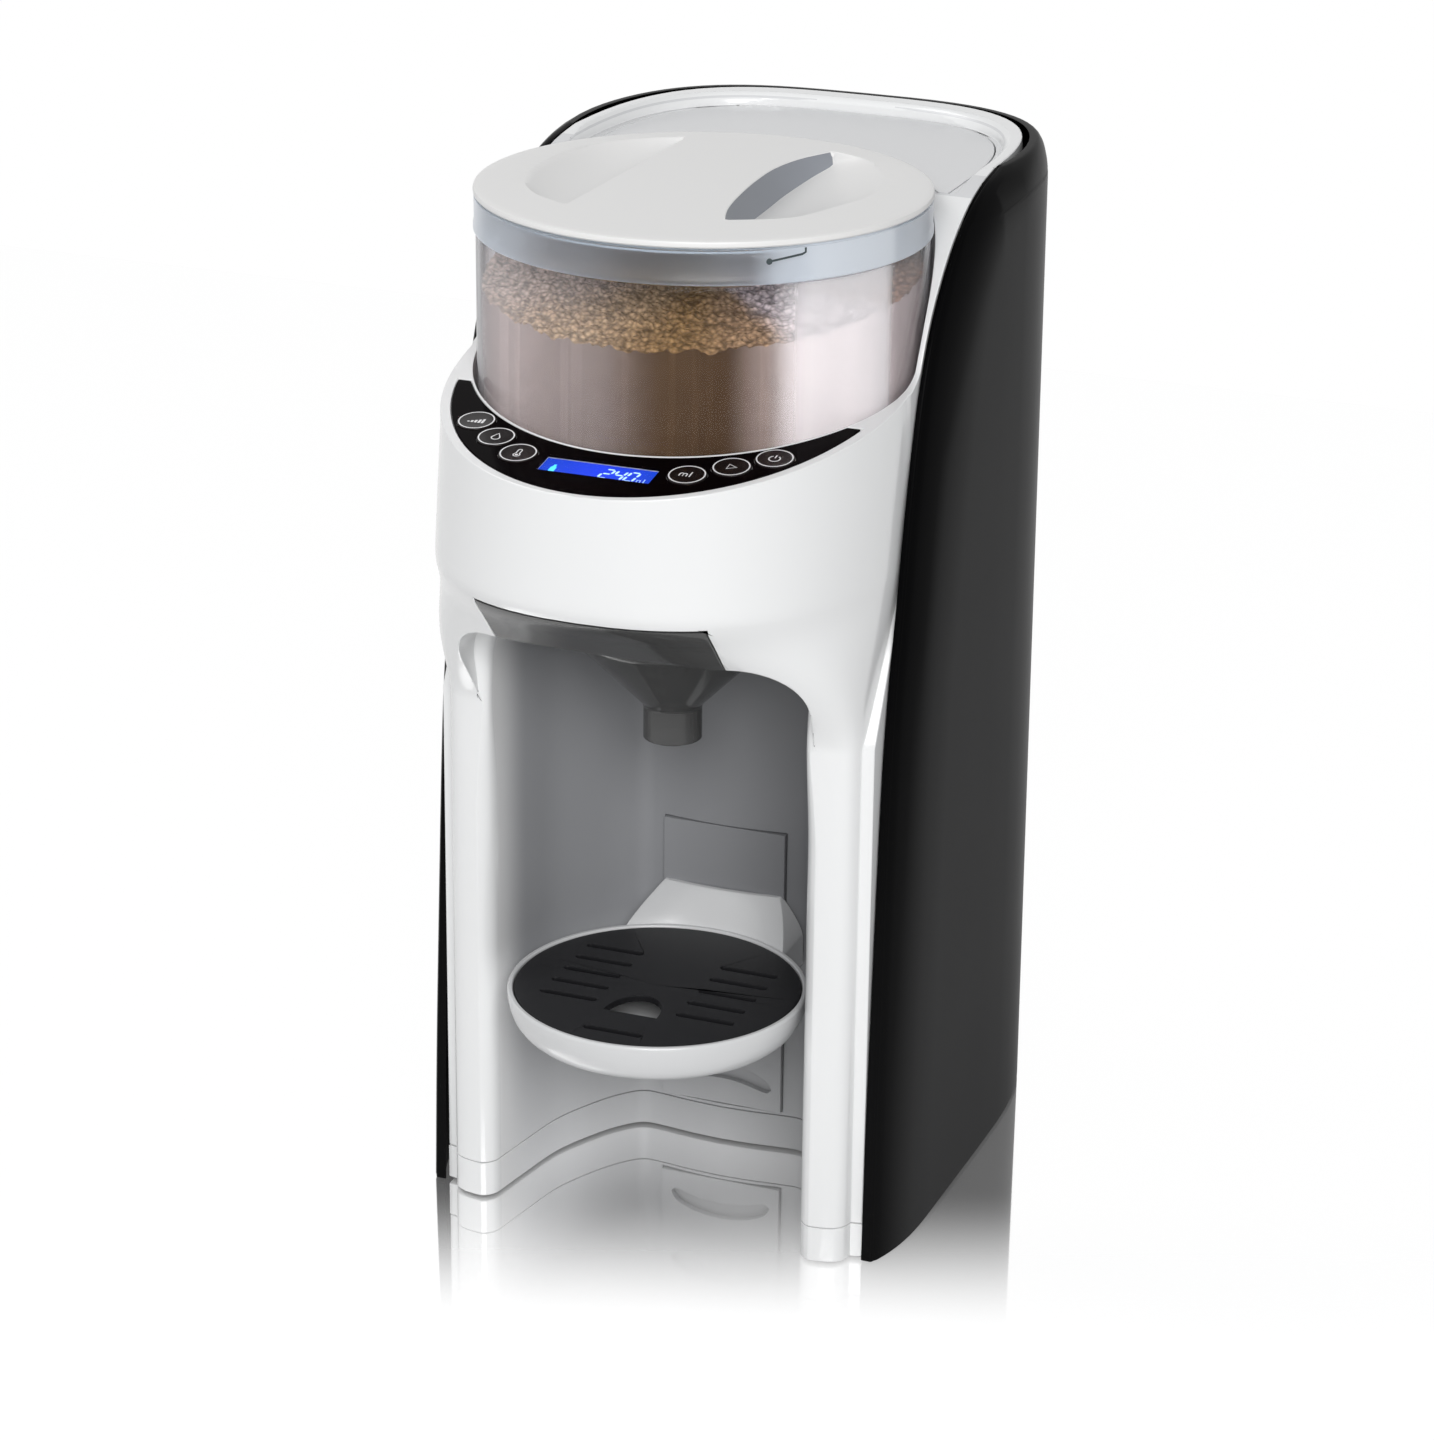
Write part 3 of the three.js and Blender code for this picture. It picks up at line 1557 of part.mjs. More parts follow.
function waterTank() {
  const inside = tankPlan(-tankWall, tankFloor + tankWall, tankTop + overrun);
  const outlet = rod(
    outletBossRadius,
    0,
    tankOutletReach,
    tankFloor - outletBossDrop,
    tankFloor + tankWall / 2,
    20,
  );
  const bore = rod(
    outletBore,
    0,
    tankOutletReach,
    tankFloor - 2 * outletBossDrop,
    tankFloor + 2 * tankWall,
    20,
  );
  return tankPlan(0, tankFloor, tankTop).subtract(inside).add(solid(outlet)).subtract(solid(bore));
}

function tankLid() {
  const top = tankPlan(tankLidOverlap, deckFloor - tankLidThickness, deckFloor);
  const skirtOuter = -tankWall - tankLidGap;
  const z0 = deckFloor - tankLidThickness - tankLidSkirt;
  const z1 = deckFloor - tankLidThickness / 2;
  const skirt = tankPlan(skirtOuter, z0, z1).subtract(
    tankPlan(skirtOuter - tankWall, z0 - overrun, z1 + overrun),
  );
  return top.add(skirt);
}

const seatFloor = tankFloor - fit - socketSeat;

function tankValve() {
  const headBottom = tankFloor + tankWall + valveLift;
  return solid(
    revolve(
      [
        [0, seatFloor + fit],
        [valveStemRadius, seatFloor + fit],
        [valveStemRadius, headBottom],
        [valveHeadRadius, headBottom],
        [valveHeadRadius, headBottom + valveHeadThickness],
        [0, headBottom + valveHeadThickness],
      ],
      0,
      tankOutletReach,
      20,
    ),
  );
}

const socketBottom = seatFloor - socketNeckLength;

function tankSocket() {
  const top = tankFloor - fit;
  const body = revolve(
    [
      [0, socketBottom],
      [socketNeckRadius, socketBottom],
      [socketNeckRadius, top - shelfThickness - fit - wall],
      [socketFlangeRadius, top - shelfThickness - fit - wall],
      [socketFlangeRadius, top - shelfThickness - fit],
      [socketNeckRadius, top - shelfThickness - fit],
      [socketNeckRadius, top],
      [0, top],
    ],
    0,
    tankOutletReach,
    18,
  );
  const y = tankOutletReach + socketDrainOffset;
  const bore = rod(outletBossRadius + tankLidGap, 0, tankOutletReach, seatFloor, top + overrun);
  const spigot = rod(spigotRadius, 0, y, socketBottom - spigotLength, socketBottom + wall, 16);
  const drain = rod(socketDrainRadius, 0, y, socketBottom - 2 * spigotLength, seatFloor + wall, 12);
  return solid(body).subtract(solid(bore)).add(solid(spigot)).subtract(solid(drain));
}

const baseFloorTop = tableClearance + baseFloorThickness;

function chassisShelf() {
  const top = tankFloor - fit;
  const outline = mirrored([
    [0, shelfFront],
    [shelfHalfWidth, shelfFront],
    ...rearArc(shelfHalfWidth, shelfRear, 6),
  ]);
  let body = solid(plate(outline, top - shelfThickness, top)).subtract(
    solid(rod(socketNeckRadius + fit, 0, tankOutletReach, 0, deckHeight, 28)),
  );
  for (const [x, y] of [
    [frontLegSpan, shelfFront + legSize / 2],
    [-frontLegSpan, shelfFront + legSize / 2],
    [rearLegSpan, rearLegReach],
    [-rearLegSpan, rearLegReach],
  ]) {
    const leg = block(
      x - legSize / 2,
      x + legSize / 2,
      y - legSize / 2,
      y + legSize / 2,
      baseFloorTop + fit,
      top - shelfThickness / 2,
    );
    body = body.add(solid(leg));
  }
  return body;
}

// Pump, heater, hoses, board and mains inlet

function waterPump() {
  const barrel = rodAlongX(pumpRadius, pumpReach, pumpHeight, pumpLeft, pumpRight);
  const spigots = rodAlongX(
    spigotRadius,
    pumpReach,
    pumpHeight,
    pumpLeft - spigotLength,
    pumpRight + spigotLength,
    16,
  );
  const foot = block(
    mix(pumpLeft, pumpRight, 0.2),
    mix(pumpLeft, pumpRight, 0.8),
    pumpReach - pumpRadius,
    pumpReach + pumpRadius,
    baseFloorTop + fit,
    pumpHeight - pumpRadius / 2,
  );
  return joined(solid(barrel), solid(spigots), solid(foot));
}

const heaterMiddle = (heaterLeft + heaterRight) / 2;
const heaterTop = baseFloorTop + fit + heaterHeight;

function waterHeater() {
  const body = block(
    heaterLeft,
    heaterRight,
    heaterFront,
    heaterRear,
    baseFloorTop + fit,
    heaterTop,
  );
  const inlet = rodAlongY(
    spigotRadius,
    heaterMiddle,
    pumpHeight,
    heaterRear - wall,
    heaterRear + spigotLength,
  );
  const outlet = rod(
    spigotRadius,
    heaterMiddle,
    heaterOutletReach,
    heaterTop - wall,
    heaterTop + spigotLength,
    16,
  );
  return joined(solid(body), solid(inlet), solid(outlet));
}

const hose = (points) => tube(points, hoseRadius, hoseRadius - hoseWall, 12, 6);

function tankHose() {
  const y = tankOutletReach + socketDrainOffset;
  const top = socketBottom - fit;
  const side = pumpLeft - 1.6 * spigotLength - 2 * hoseRadius;
  return hose([
    [0, y, top],
    [0, y, top - 1.5 * spigotLength],
    [0, y, top - 3 * spigotLength],
    [side / 2, y - 4 * hoseRadius, mix(top, pumpHeight, 0.5)],
    [side, pumpReach + 3 * hoseRadius, pumpHeight + 5 * hoseRadius],
    [side, pumpReach + hoseRadius / 2, pumpHeight + hoseRadius],
    [pumpLeft - fit - 1.6 * spigotLength, pumpReach, pumpHeight],
    [pumpLeft - fit - 0.8 * spigotLength, pumpReach, pumpHeight],
    [pumpLeft - fit, pumpReach, pumpHeight],
  ]);
}

function pumpHose() {
  const start = pumpRight + fit;
  const end = heaterRear + fit;
  return hose([
    [start, pumpReach, pumpHeight],
    [start + spigotLength / 2, pumpReach, pumpHeight],
    [start + 1.3 * spigotLength, pumpReach, pumpHeight],
    [mix(start, heaterMiddle, 0.5), pumpReach + 4 * hoseRadius, pumpHeight],
    [mix(start, heaterMiddle, 0.82), end + 5 * hoseRadius, pumpHeight],
    [heaterMiddle, end + spigotLength + 2 * hoseRadius, pumpHeight],
    [heaterMiddle, end + spigotLength, pumpHeight],
    [heaterMiddle, end, pumpHeight],
  ]);
}

function nozzleHose() {
  const y = heaterOutletReach;
  const bottom = heaterTop + fit;
  const top = nozzleRiserBottom + 2 * spigotLength;
  const points = [
    [heaterMiddle, y, bottom],
    [heaterMiddle, y, bottom + 2 * spigotLength],
    [heaterMiddle, mix(y, shelfFront, 0.5) - 3 * hoseRadius, mix(bottom, top, 0.4)],
    [heaterMiddle / 2, nozzleRiserReach + 1.5 * hoseRadius, mix(bottom, top, 0.55)],
    [0, nozzleRiserReach, top - 3 * spigotLength],
    [0, nozzleRiserReach, top],
  ];
  return hose(points);
}

function powerInlet() {
  const middle = glandHeight;
  const flangeInner = rearReach + fit;
  const flangeOuter = flangeInner + glandFlangeThickness;
  const flange = rodAlongY(glandFlange, 0, middle, flangeInner, flangeOuter, 20);
  const barrel = rodAlongY(
    glandRadius,
    0,
    middle,
    housingRear - 2 * overrun,
    flangeOuter - glandFlangeThickness / 2,
    14,
  );
  const bore = rodAlongY(glandBore, 0, middle, housingRear, rearReach + 2 * overrun, 12);
  return solid(flange).add(solid(barrel)).subtract(solid(bore));
}

function baseScrew(x, y) {
  const headBottom = tableClearance + 2 * fit;
  const neck = headBottom + screwHeadHeight;
  const profile = [
    [0, headBottom],
    [screwHeadRadius, headBottom],
    [screwHeadRadius, neck],
    [screwRadius, neck],
    [screwRadius, neck + screwLength],
    [0, neck + screwLength],
  ];
  return solid(revolve(profile, x, y, 8));
}

add("front_housing", frontHousing(), glossWhite);
add("rear_shell", rearShell(), glossBlack);
add("base_plate", basePlate(), glossWhite);
const corners = ["front_left", "front_right", "rear_left", "rear_right"];
corners.forEach((corner, i) => {
  const [x, y] = footPlaces[i];
  const foot = rod(footRadius, x, y, 0, tableClearance + footSink, 14);
  add(`rubber_foot_${corner}`, solid(foot), rubber);
  add(`base_screw_${corner}`, baseScrew(...bossPlaces[i]), steel);
});
add("rail_panel", railPanel(), satinWhite);

add("control_panel", panelPlate(), panelBlack);
const lens = plate(windowOutline(-fit), -panelThickness, -panelThickness + lensThickness);
add("display_lens", solid(onPanel(lens)), smoke);
const displayBlock = plate(windowOutline(-2 * fit), displayBottom, -panelThickness - fit);
add("display_module", solid(onPanel(displayBlock)), displayBlue);
add("control_board", controlBoard(), boardGreen);
const keyNames = ["powder_level", "water_type", "temperature", "volume", "start", "power"];
const keyOrder = [2, 1, 0, 3, 4, 5];
keyNames.forEach((keyName, i) => {
  add(`button_${keyName}`, keyCap(keys[keyOrder[i]]), glossBlack);
});

add("powder_container", powderContainer(), clear);
add("container_base", containerBase(), satinWhite);
add("portion_wheel", portionWheel(), acetal);
add("stirring_wheel", stirringWheel(), acetal);
add("formula_powder", formulaPowder(), powderTan);
add("lid_seal", ring(neckRadius, neckInner, sealBottom, sealBottom + sealHeight), rubber);
add("container_lid", containerLid(), satinWhite);
add("drive_pinion", drivePinion(), acetal);
const seal = ring(sealRadius, shaftRadius + fit, wellFloor - slabThickness, wellFloor - fit, 16);
add("pinion_seal", seal.translate(0, pinionReach, 0), rubber);
add("gearbox", gearbox(), machinedGrey);
const motorTop = gearboxTop - gearboxHeight - fit;
const motor = rod(motorRadius, 0, pinionReach, motorTop - motorLength, motorTop, 28);
add("drive_motor", solid(motor), steel);

add("mixing_funnel", mixingFunnel(), smoke);
add("funnel_cover", funnelCover(), smoke);
add("water_nozzle", waterNozzle(), steel);
add("drip_tray", dripTray(), glossWhite);
add("drip_grid", dripGrid(), gridBlack);

add("water_tank", waterTank(), clear);
add("tank_lid", tankLid(), satinWhite);
add("tank_valve", tankValve(), rubber);
add("tank_socket", tankSocket(), acetal);
add("chassis_shelf", chassisShelf(), satinWhite);
add("water_pump", waterPump(), machinedGrey);
add("water_heater", waterHeater(), steel);
const mainBoard = block(
  mainBoardSide - boardThickness,
  mainBoardSide,
  mainBoardFront,
  mainBoardRear,
  baseFloorTop + fit,
  mainBoardTop,
);
add("main_board", solid(mainBoard), boardGreen);
add("power_inlet", powerInlet(), rubber);
add("tank_hose", tankHose(), hoseWhite);
add("pump_hose", pumpHose(), hoseWhite);
add("nozzle_hose", nozzleHose(), hoseWhite);

export default machine;
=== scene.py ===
import json
import math

import bmesh
import bpy
from mathutils import Matrix, Vector, noise


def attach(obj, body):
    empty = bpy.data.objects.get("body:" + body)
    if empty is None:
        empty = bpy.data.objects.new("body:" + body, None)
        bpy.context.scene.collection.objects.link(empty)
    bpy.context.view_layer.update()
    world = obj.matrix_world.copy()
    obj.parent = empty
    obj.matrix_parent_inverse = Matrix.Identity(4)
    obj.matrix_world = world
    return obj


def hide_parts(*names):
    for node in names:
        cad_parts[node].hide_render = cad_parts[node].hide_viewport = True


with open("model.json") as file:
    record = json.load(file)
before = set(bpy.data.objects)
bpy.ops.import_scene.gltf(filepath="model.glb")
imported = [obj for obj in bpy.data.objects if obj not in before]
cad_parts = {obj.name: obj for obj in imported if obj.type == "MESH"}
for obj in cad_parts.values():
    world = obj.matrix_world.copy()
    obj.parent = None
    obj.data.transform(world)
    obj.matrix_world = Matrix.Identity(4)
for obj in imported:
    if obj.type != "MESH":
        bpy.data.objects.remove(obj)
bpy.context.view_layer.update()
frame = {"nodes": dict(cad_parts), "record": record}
nodes = frame["nodes"]

# Camera
# Set where the photographer's lens was, found from the machine's own straight edges. Sizes in this
# file are millimetres round the powder container's axis, and to_row turns them into the row frame.
mm = 0.001
axis_behind_origin = -30.15
to_row = Matrix.Diagonal((mm, mm, mm, 1)) @ Matrix.Translation((0, axis_behind_origin, 0))
yaw, pitch, roll = (math.radians(a) for a in (21.38, 21.01, 0.64))
forward = Vector(
    (-math.sin(yaw) * math.cos(pitch), math.cos(yaw) * math.cos(pitch), -math.sin(pitch))
)
level = Vector((math.cos(yaw), math.sin(yaw), 0))
upright = level.cross(forward)
right = math.cos(roll) * level + math.sin(roll) * upright
up = -math.sin(roll) * level + math.cos(roll) * upright
aim = Vector((0, 80, 190)) - 22.65 * right - 27.7 * up
eye = to_row @ (aim - 1638.06 * forward)
lens = bpy.data.cameras.new("photo_camera")
lens.sensor_fit = "HORIZONTAL"
lens.sensor_width = 36
photo_width, focal_length = 1434, 4188.42
lens.lens = focal_length / photo_width * lens.sensor_width
lens.clip_end = 50
camera = bpy.data.objects.new("photo_camera", lens)
turn = Matrix((right, up, -forward)).transposed().to_4x4()
camera.matrix_world = Matrix.Translation(eye) @ turn
bpy.context.scene.collection.objects.link(camera)
bpy.context.scene.camera = camera

# Front housing
# One glossy white moulding: two hollow columns with the bay between them, the swelling nose above,
# the well for the container and the dished deck behind it. Edges are softened as the mould leaves them.
deck = 391.5
nose_reach, column_reach, step_reach = 117.5, 54, 44.7
nose_centre = 15
rear_reach = 176
widest = 60
seam = 15.3
column_top, nose_bottom, nose_top = 205, 265, 316
cheek = 85
well_radius = 83
well_floor = 268
panel_pivot = (80, 317.8)
panel_slope = math.atan(0.173)
rim_inset = 0.8
keys = {
    "powder_level": (-56.3, -73.3),
    "water_type": (-44.2, -83.1),
    "temperature": (-31.6, -92.6),
    "volume": (31.6, -92.6),
    "start": (44.2, -83.1),
    "power": (56.3, -73.3),
}
window = [(-21, -101.6), (21, -101.6), (21, -90.6), (-21, -90.6)]


def mirrored(half):
    left = [(-x, y) for x, y in reversed(half) if x > 1e-4]
    return list(half) + left


def share(value, start, end):
    """How far a value is on the way from start to end, from 0 to 1."""
    return min(1.0, max(0.0, (value - start) / (end - start)))


def eased(value):
    return value * value * (3 - 2 * value)


def knee(value, limit, blend):
    """The lesser of two numbers, with a soft turn from one to the other."""
    h = min(1.0, max(0.0, 0.5 + 0.5 * (limit - value) / blend))
    return limit * (1 - h) + value * h - blend * h * (1 - h)


def ring_at(plan, z):
    return [(x, y, z) for x, y in plan]


def loft(rings):
    """Draws out the first ring level by level, each level taking the next ring's places."""
    bm = bmesh.new()
    verts = [bm.verts.new(p) for p in rings[0]]
    edges = [bm.edges.new(pair) for pair in zip(verts, verts[1:] + verts[:1])]
    bmesh.ops.contextual_create(bm, geom=edges)
    for ring in rings[1:]:
        drawn = bmesh.ops.extrude_edge_only(bm, edges=edges)["geom"]
        fresh = {g for g in drawn if isinstance(g, bmesh.types.BMVert)}
        verts = [next(e.other_vert(v) for e in v.link_edges if e.other_vert(v) in fresh) for v in verts]
        for v, place in zip(verts, ring):
            v.co = place
        edges = [bm.edges.get(pair) for pair in zip(verts, verts[1:] + verts[:1])]
    bmesh.ops.contextual_create(bm, geom=edges)
    bmesh.ops.triangulate(bm, faces=[f for f in bm.faces if len(f.verts) > 4])
    bmesh.ops.recalc_face_normals(bm, faces=bm.faces)
    return bm


def prism(plan, low, high):
    return loft([ring_at(plan, z) for z in (low, high)])


def rod(radius, x, y, low, high, sides=64):
    bm = bmesh.new()
    where = Matrix.Translation((x, y, (low + high) / 2))
    bmesh.ops.create_cone(
        bm, cap_ends=True, segments=sides, radius1=radius, radius2=radius, depth=high - low, matrix=where
    )
    return bm


def brick(x0, x1, y0, y1, z0, z1):
    bm = bmesh.new()
    size = Matrix.Diagonal((x1 - x0, y1 - y0, z1 - z0, 1))
    middle = Matrix.Translation(((x0 + x1) / 2, (y0 + y1) / 2, (z0 + z1) / 2))
    bmesh.ops.create_cube(bm, size=1, matrix=middle @ size)
    return bm


def turned(profile, x=0, y=0, sides=128):
    """Turns a profile of radius and height round an upright axis. It starts and ends on the axis, or
    closes on itself."""
    bm = bmesh.new()
    verts = [bm.verts.new((x + r, y, z)) for r, z in profile]
    edges = [bm.edges.new(pair) for pair in zip(verts, verts[1:])]
    if profile[0][0] > 0:
        edges.append(bm.edges.new((verts[-1], verts[0])))
    bmesh.ops.spin(
        bm, geom=verts + edges, cent=(x, y, 0), axis=(0, 0, 1), angle=2 * math.pi, steps=sides, use_merge=True
    )
    bmesh.ops.remove_doubles(bm, verts=bm.verts, dist=1e-4)
    bmesh.ops.recalc_face_normals(bm, faces=bm.faces)
    return bm


def to_object(name, bm, matrix=to_row):
    bmesh.ops.transform(bm, matrix=matrix, verts=bm.verts)
    mesh = bpy.data.meshes.new(name)
    bm.to_mesh(mesh)
    bm.free()
    piece = bpy.data.objects.new(name, mesh)
    bpy.context.scene.collection.objects.link(piece)
    return piece


def apply_modifiers(piece):
    bpy.context.view_layer.update()
    drawn = piece.evaluated_get(bpy.context.evaluated_depsgraph_get())
    mesh = bpy.data.meshes.new_from_object(drawn)
    piece.modifiers.clear()
    piece.data = mesh
    return piece


def machined(name, bm, cuts=(), joins=(), keeps=()):
    """A piece with shapes joined to it or cut from it, or of which only what lies in a shape is kept."""
    piece = to_object(name, bm)
    tools = []
    for operation, shapes in (("UNION", joins), ("DIFFERENCE", cuts), ("INTERSECT", keeps)):
        for shape in shapes:
            tool = to_object("tool", shape)
            step = piece.modifiers.new(operation, "BOOLEAN")
            step.operation = operation
            step.solver = "MANIFOLD"
            step.object = tool
            tools.append(tool)
    apply_modifiers(piece)
    for tool in tools:
        bpy.data.objects.remove(tool)
    return piece


def carved(bm, cuts=(), keeps=()):
    """The same as machined, for a shape that will cut or join another; in millimetres again."""
    piece = machined("shape", bm, cuts=cuts, keeps=keeps)
    shape = bmesh.new()
    shape.from_mesh(piece.data)
    bmesh.ops.transform(shape, matrix=to_row.inverted(), verts=shape.verts)
    bpy.data.objects.remove(piece)
    return shape


def softened(piece, width, sharper_than=34, where=None, cut_up=False):
    """Rounds the edges sharper than an angle, as a mould does, or those of them that where accepts."""
    bm = bmesh.new()
    bm.from_mesh(piece.data)
    bmesh.ops.remove_doubles(bm, verts=bm.verts, dist=0.03 * mm)
    bmesh.ops.dissolve_degenerate(bm, edges=bm.edges, dist=0.03 * mm)
    if cut_up:
        bmesh.ops.triangulate(bm, faces=[f for f in bm.faces if len(f.verts) > 4])
    sharp = []
    for e in bm.edges:
        if e.is_manifold and e.calc_face_angle() > math.radians(sharper_than):
            middle = (e.verts[0].co + e.verts[1].co) / 2 / mm
            if where is None or where(middle.x, middle.y - axis_behind_origin, middle.z):
                sharp.append(e)
    bmesh.ops.bevel(
        bm,
        geom=sharp,
        offset=width * mm,
        offset_type="OFFSET",
        affect="EDGES",
        segments=2,
        profile=0.5,
        material=-1,
        clamp_overlap=False,
    )
    bm.to_mesh(piece.data)
    bm.free()
    return piece


def dressed(piece, body, material, *stands_for, sharp_from=38, even=True):
    """Gives a piece its finish, smooth shading and the body it moves with."""
    mesh = piece.data
    mesh.materials.clear()
    mesh.materials.append(material)
    mesh.shade_smooth()
    mesh.set_sharp_from_angle(angle=math.radians(sharp_from))
    if even:
        weighted = piece.modifiers.new("even_shading", "WEIGHTED_NORMAL")
        weighted.keep_sharp = True
    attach(piece, body)
    if stands_for:
        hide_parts(*stands_for)
    return piece


def crown(z):
    u = share(z, deck - 16, deck)
    return 1 - math.sqrt(1 - u * u)


def rear_arc(half_width, reach):
    """The plan of the rear, from its widest place round to the middle of the back."""
    steps = 20
    points = []
    for i in range(steps + 1):
        a = i / steps * math.pi / 2
        s, c = math.sin(a), max(0.0, math.cos(a))
        if i == steps:
            s, c = 1, 0
        points.append((half_width * c ** (2 / 3.2), widest + (reach - widest) * s ** (2 / 3.2)))
    return points


def housing_plan(z):
    """The housing at a height: columns below, blending into the rounded nose above."""
    steps = 28
    t = share(z, column_top, nose_bottom)
    upper = share(z, nose_bottom, nose_top)
    drawn_out = max(0.0, (z - column_top) / (nose_bottom - column_top)) ** 1.4
    reach = column_reach + (nose_reach - column_reach) * knee(drawn_out, 1, 0.14)
    square = 11 + (2.3 + (2.05 - 2.3) * upper - 11) * (1 - (1 - t) ** 2)
    step = step_reach + (nose_centre - step_reach) * t
    half_width = 81 + 3.4 * t
    depth = reach - nose_centre
    end = math.acos(((step - nose_centre) / depth) ** (square / 2))
    half = []
    for i in range(steps + 1):
        a = (i / steps) ** 0.8 * end
        s, c = math.sin(a) ** (2 / square), max(0.0, math.cos(a)) ** (2 / square)
        half.append((half_width * s, -nose_centre - depth * c))
    side = cheek - rim_inset * crown(z)
    half.append((side, -step + 1))
    half += rear_arc(side, rear_reach - 5.8)
    return mirrored(half)


def through(points, per_gap=5):
    """A smooth run through chosen points."""
    run = []
    for i in range(len(points) - 1):
        four = (points[max(0, min(len(points) - 1, i + k))] for k in (-1, 0, 1, 2))
        corners = list(zip(*four))
        for j in range(per_gap):
            t = j / per_gap
            place = []
            for a, b, c, d in corners:
                bend = (2 * a - 5 * b + 4 * c - d) * t * t + (3 * b - a - 3 * c + d) * t**3
                place.append(0.5 * (2 * b + (c - a) * t + bend))
            run.append(tuple(place))
    run.append(tuple(points[-1]))
    return run


bay_half, bay_ceiling, bay_corner = 61.8, 244, 22
bay_mouth = -46.3
far_ahead, far_behind, above_all = -240, 240, 600
jamb, arch_flare = 8, 3.4
bay_wall = [(bay_half, bay_mouth), (58.7, -26), (54.8, -5.8), (46, 14), (39, 24.4), (33, 29.3), (25.3, 29.3)]
bay_wall += [(12.4, 27.9), (0, 27.3)]


def bay_plan(z):
    """The bay at a height: a rounded jamb at its mouth, walls that draw together towards the back."""
    drawn_in = bay_corner * (1 - math.sqrt(1 - share(z, bay_ceiling - bay_corner, bay_ceiling) ** 2))
    narrowing, flaring = share(z, 165, 212), share(z, 200, 240)
    jamb_here = jamb + (3.4 - jamb) * eased(narrowing) + arch_flare * eased(flaring)
    side = bay_half - drawn_in
    half = [(side + jamb_here, far_ahead)]
    for i in range(9):
        a = i / 8 * math.pi / 2
        half.append((side + jamb_here * (1 - math.sin(a)), -54 + jamb_here * (1 - math.cos(a))))
    half += [(max(0, x - drawn_in * x / bay_half), y) for x, y in through(bay_wall, 4)[1:]]
    return mirrored(half[:-1] + [(0, half[-1][1])])


def bay_cutter():
    heights = [-6, 60, 120] + [165 + 4 * i for i in range(14)]
    heights += [bay_ceiling - bay_corner * (1 - math.sin(a / 12 * math.pi / 2)) for a in range(13)]
    return loft([ring_at(bay_plan(min(z, bay_ceiling - 0.02)), z) for z in heights])


def panel_height(y):
    return panel_pivot[1] + math.tan(panel_slope) * (y + panel_pivot[0])


edge_points = [(-46, 0), (-44.5, 50), (-41.8, 104), (-37, 184), (-32.4, 221), (-25, 257.5)]
edge_points += [(-18, 291), (-8, 326), (3.2, 348.7), (15.7, 364), (29, 375.5), (43.7, 383.8)]
edge_points += [(60, 388.9), (78, deck)]
edge_run = through(edge_points, 6)


def sky_cutter():
    """Everything above the nose's slope, the S-curve beside the container and the deck."""
    rising = [(y, z) for y, z in edge_run if y > -12 and z > panel_height(y) + 0.5]
    foot = through([(-60, panel_height(-60)), (-18, panel_height(-18)), rising[0], rising[2]], 4)[:9]
    side = [(far_ahead, panel_height(far_ahead))] + foot + rising[1:-1]
    side += [(78, deck), (far_behind, deck), (far_behind, above_all), (far_ahead, above_all)]
    return loft([[(x, y, z) for y, z in side] for x in (-110, 110)])


def on_panel(bm):
    tilt = Matrix.Translation((0, -panel_pivot[0], panel_pivot[1])) @ Matrix.Rotation(panel_slope, 4, "X")
    bmesh.ops.transform(bm, matrix=tilt, verts=bm.verts)
    return bm


def along_panel(y):
    return (y + panel_pivot[0]) / math.cos(panel_slope)


def crescent(grow):
    """The control panel's outline in its own plane, grown or shrunk all round."""
    steps = 60
    inner, half, depth = well_radius + 1.4 - grow, 79.5 + grow, 94.8 + grow
    end = 44 - 4 * grow
    outer_end = math.acos((end - 20) / depth)
    inner_end = math.acos(end / inner)
    turns = [2 * i / steps - 1 for i in range(steps + 1)]
    plan = [(half * math.sin(a * outer_end), -20 - depth * math.cos(a * outer_end)) for a in turns]
    plan += [(inner * math.sin(-a * inner_end), -inner * math.cos(a * inner_end)) for a in turns]
    return [(x, along_panel(y)) for x, y in plan]


def window_plan(grow):
    return [(x + math.copysign(grow, x), along_panel(y + math.copysign(grow, y + 96))) for x, y in window]


def tank_plan(grow):
    return mirrored([(0, 54 - grow), (72 + grow, 54 - grow)] + rear_arc(72 + grow, 156.5 + grow))


def deck_dish():
    """The dish in the deck: its side rises in a soft curve, and it opens forward over the S-curve."""
    rings = []
    for i in range(9):
        a = i / 8 * math.pi / 2
        out = 4.4 * (1 - math.cos(a))
        plan = mirrored([(0, -117), (78.2 + out, -117)] + rear_arc(78.2 + out, 159.2 + out))
        rings.append(ring_at(plan, deck - 5 + 5.3 * math.sin(a)))
    return loft(rings)


def nose_form(back, low, high):
    """The nose's own form between two heights, moved back from its skin."""
    return loft([[(x, y + back, z) for x, y in housing_plan(z)] for z in range(low, high, 2)])


lip_ahead = -235
heights = [seam, 60, 120, 170, 190, column_top]
heights += [column_top + (nose_bottom - column_top) * i / 20 for i in range(1, 21)]
heights += [266.5, 268, 270, 273, 282, 295, 306, nose_top, 340, 360, deck - 16]
heights += [deck - 16 * (1 - math.sin(i / 8 * math.pi / 2)) for i in range(1, 9)]
hollow = carved(
    loft(
        [
            ring_at(mirrored([(0, front), (81, front)] + rear_arc(82, rear_reach - 8.4)), z)
            for front, z in ((34, seam - 6), (34, 330), (58, deck - 7.6))
        ]
    ),
    cuts=[rod(well_radius + 2.6, 0, 0, 264, 420, 160)],
)
tank_mouth = carved(prism(tank_plan(3.5), deck - 12, deck + 6), cuts=[rod(87.1, 0, 0, 300, 420, 160)])
lip_mouth = carved(brick(-43.9, 43.9, lip_ahead, 22, 241.4, 264.6), cuts=[nose_form(2.8, 236, 272)])
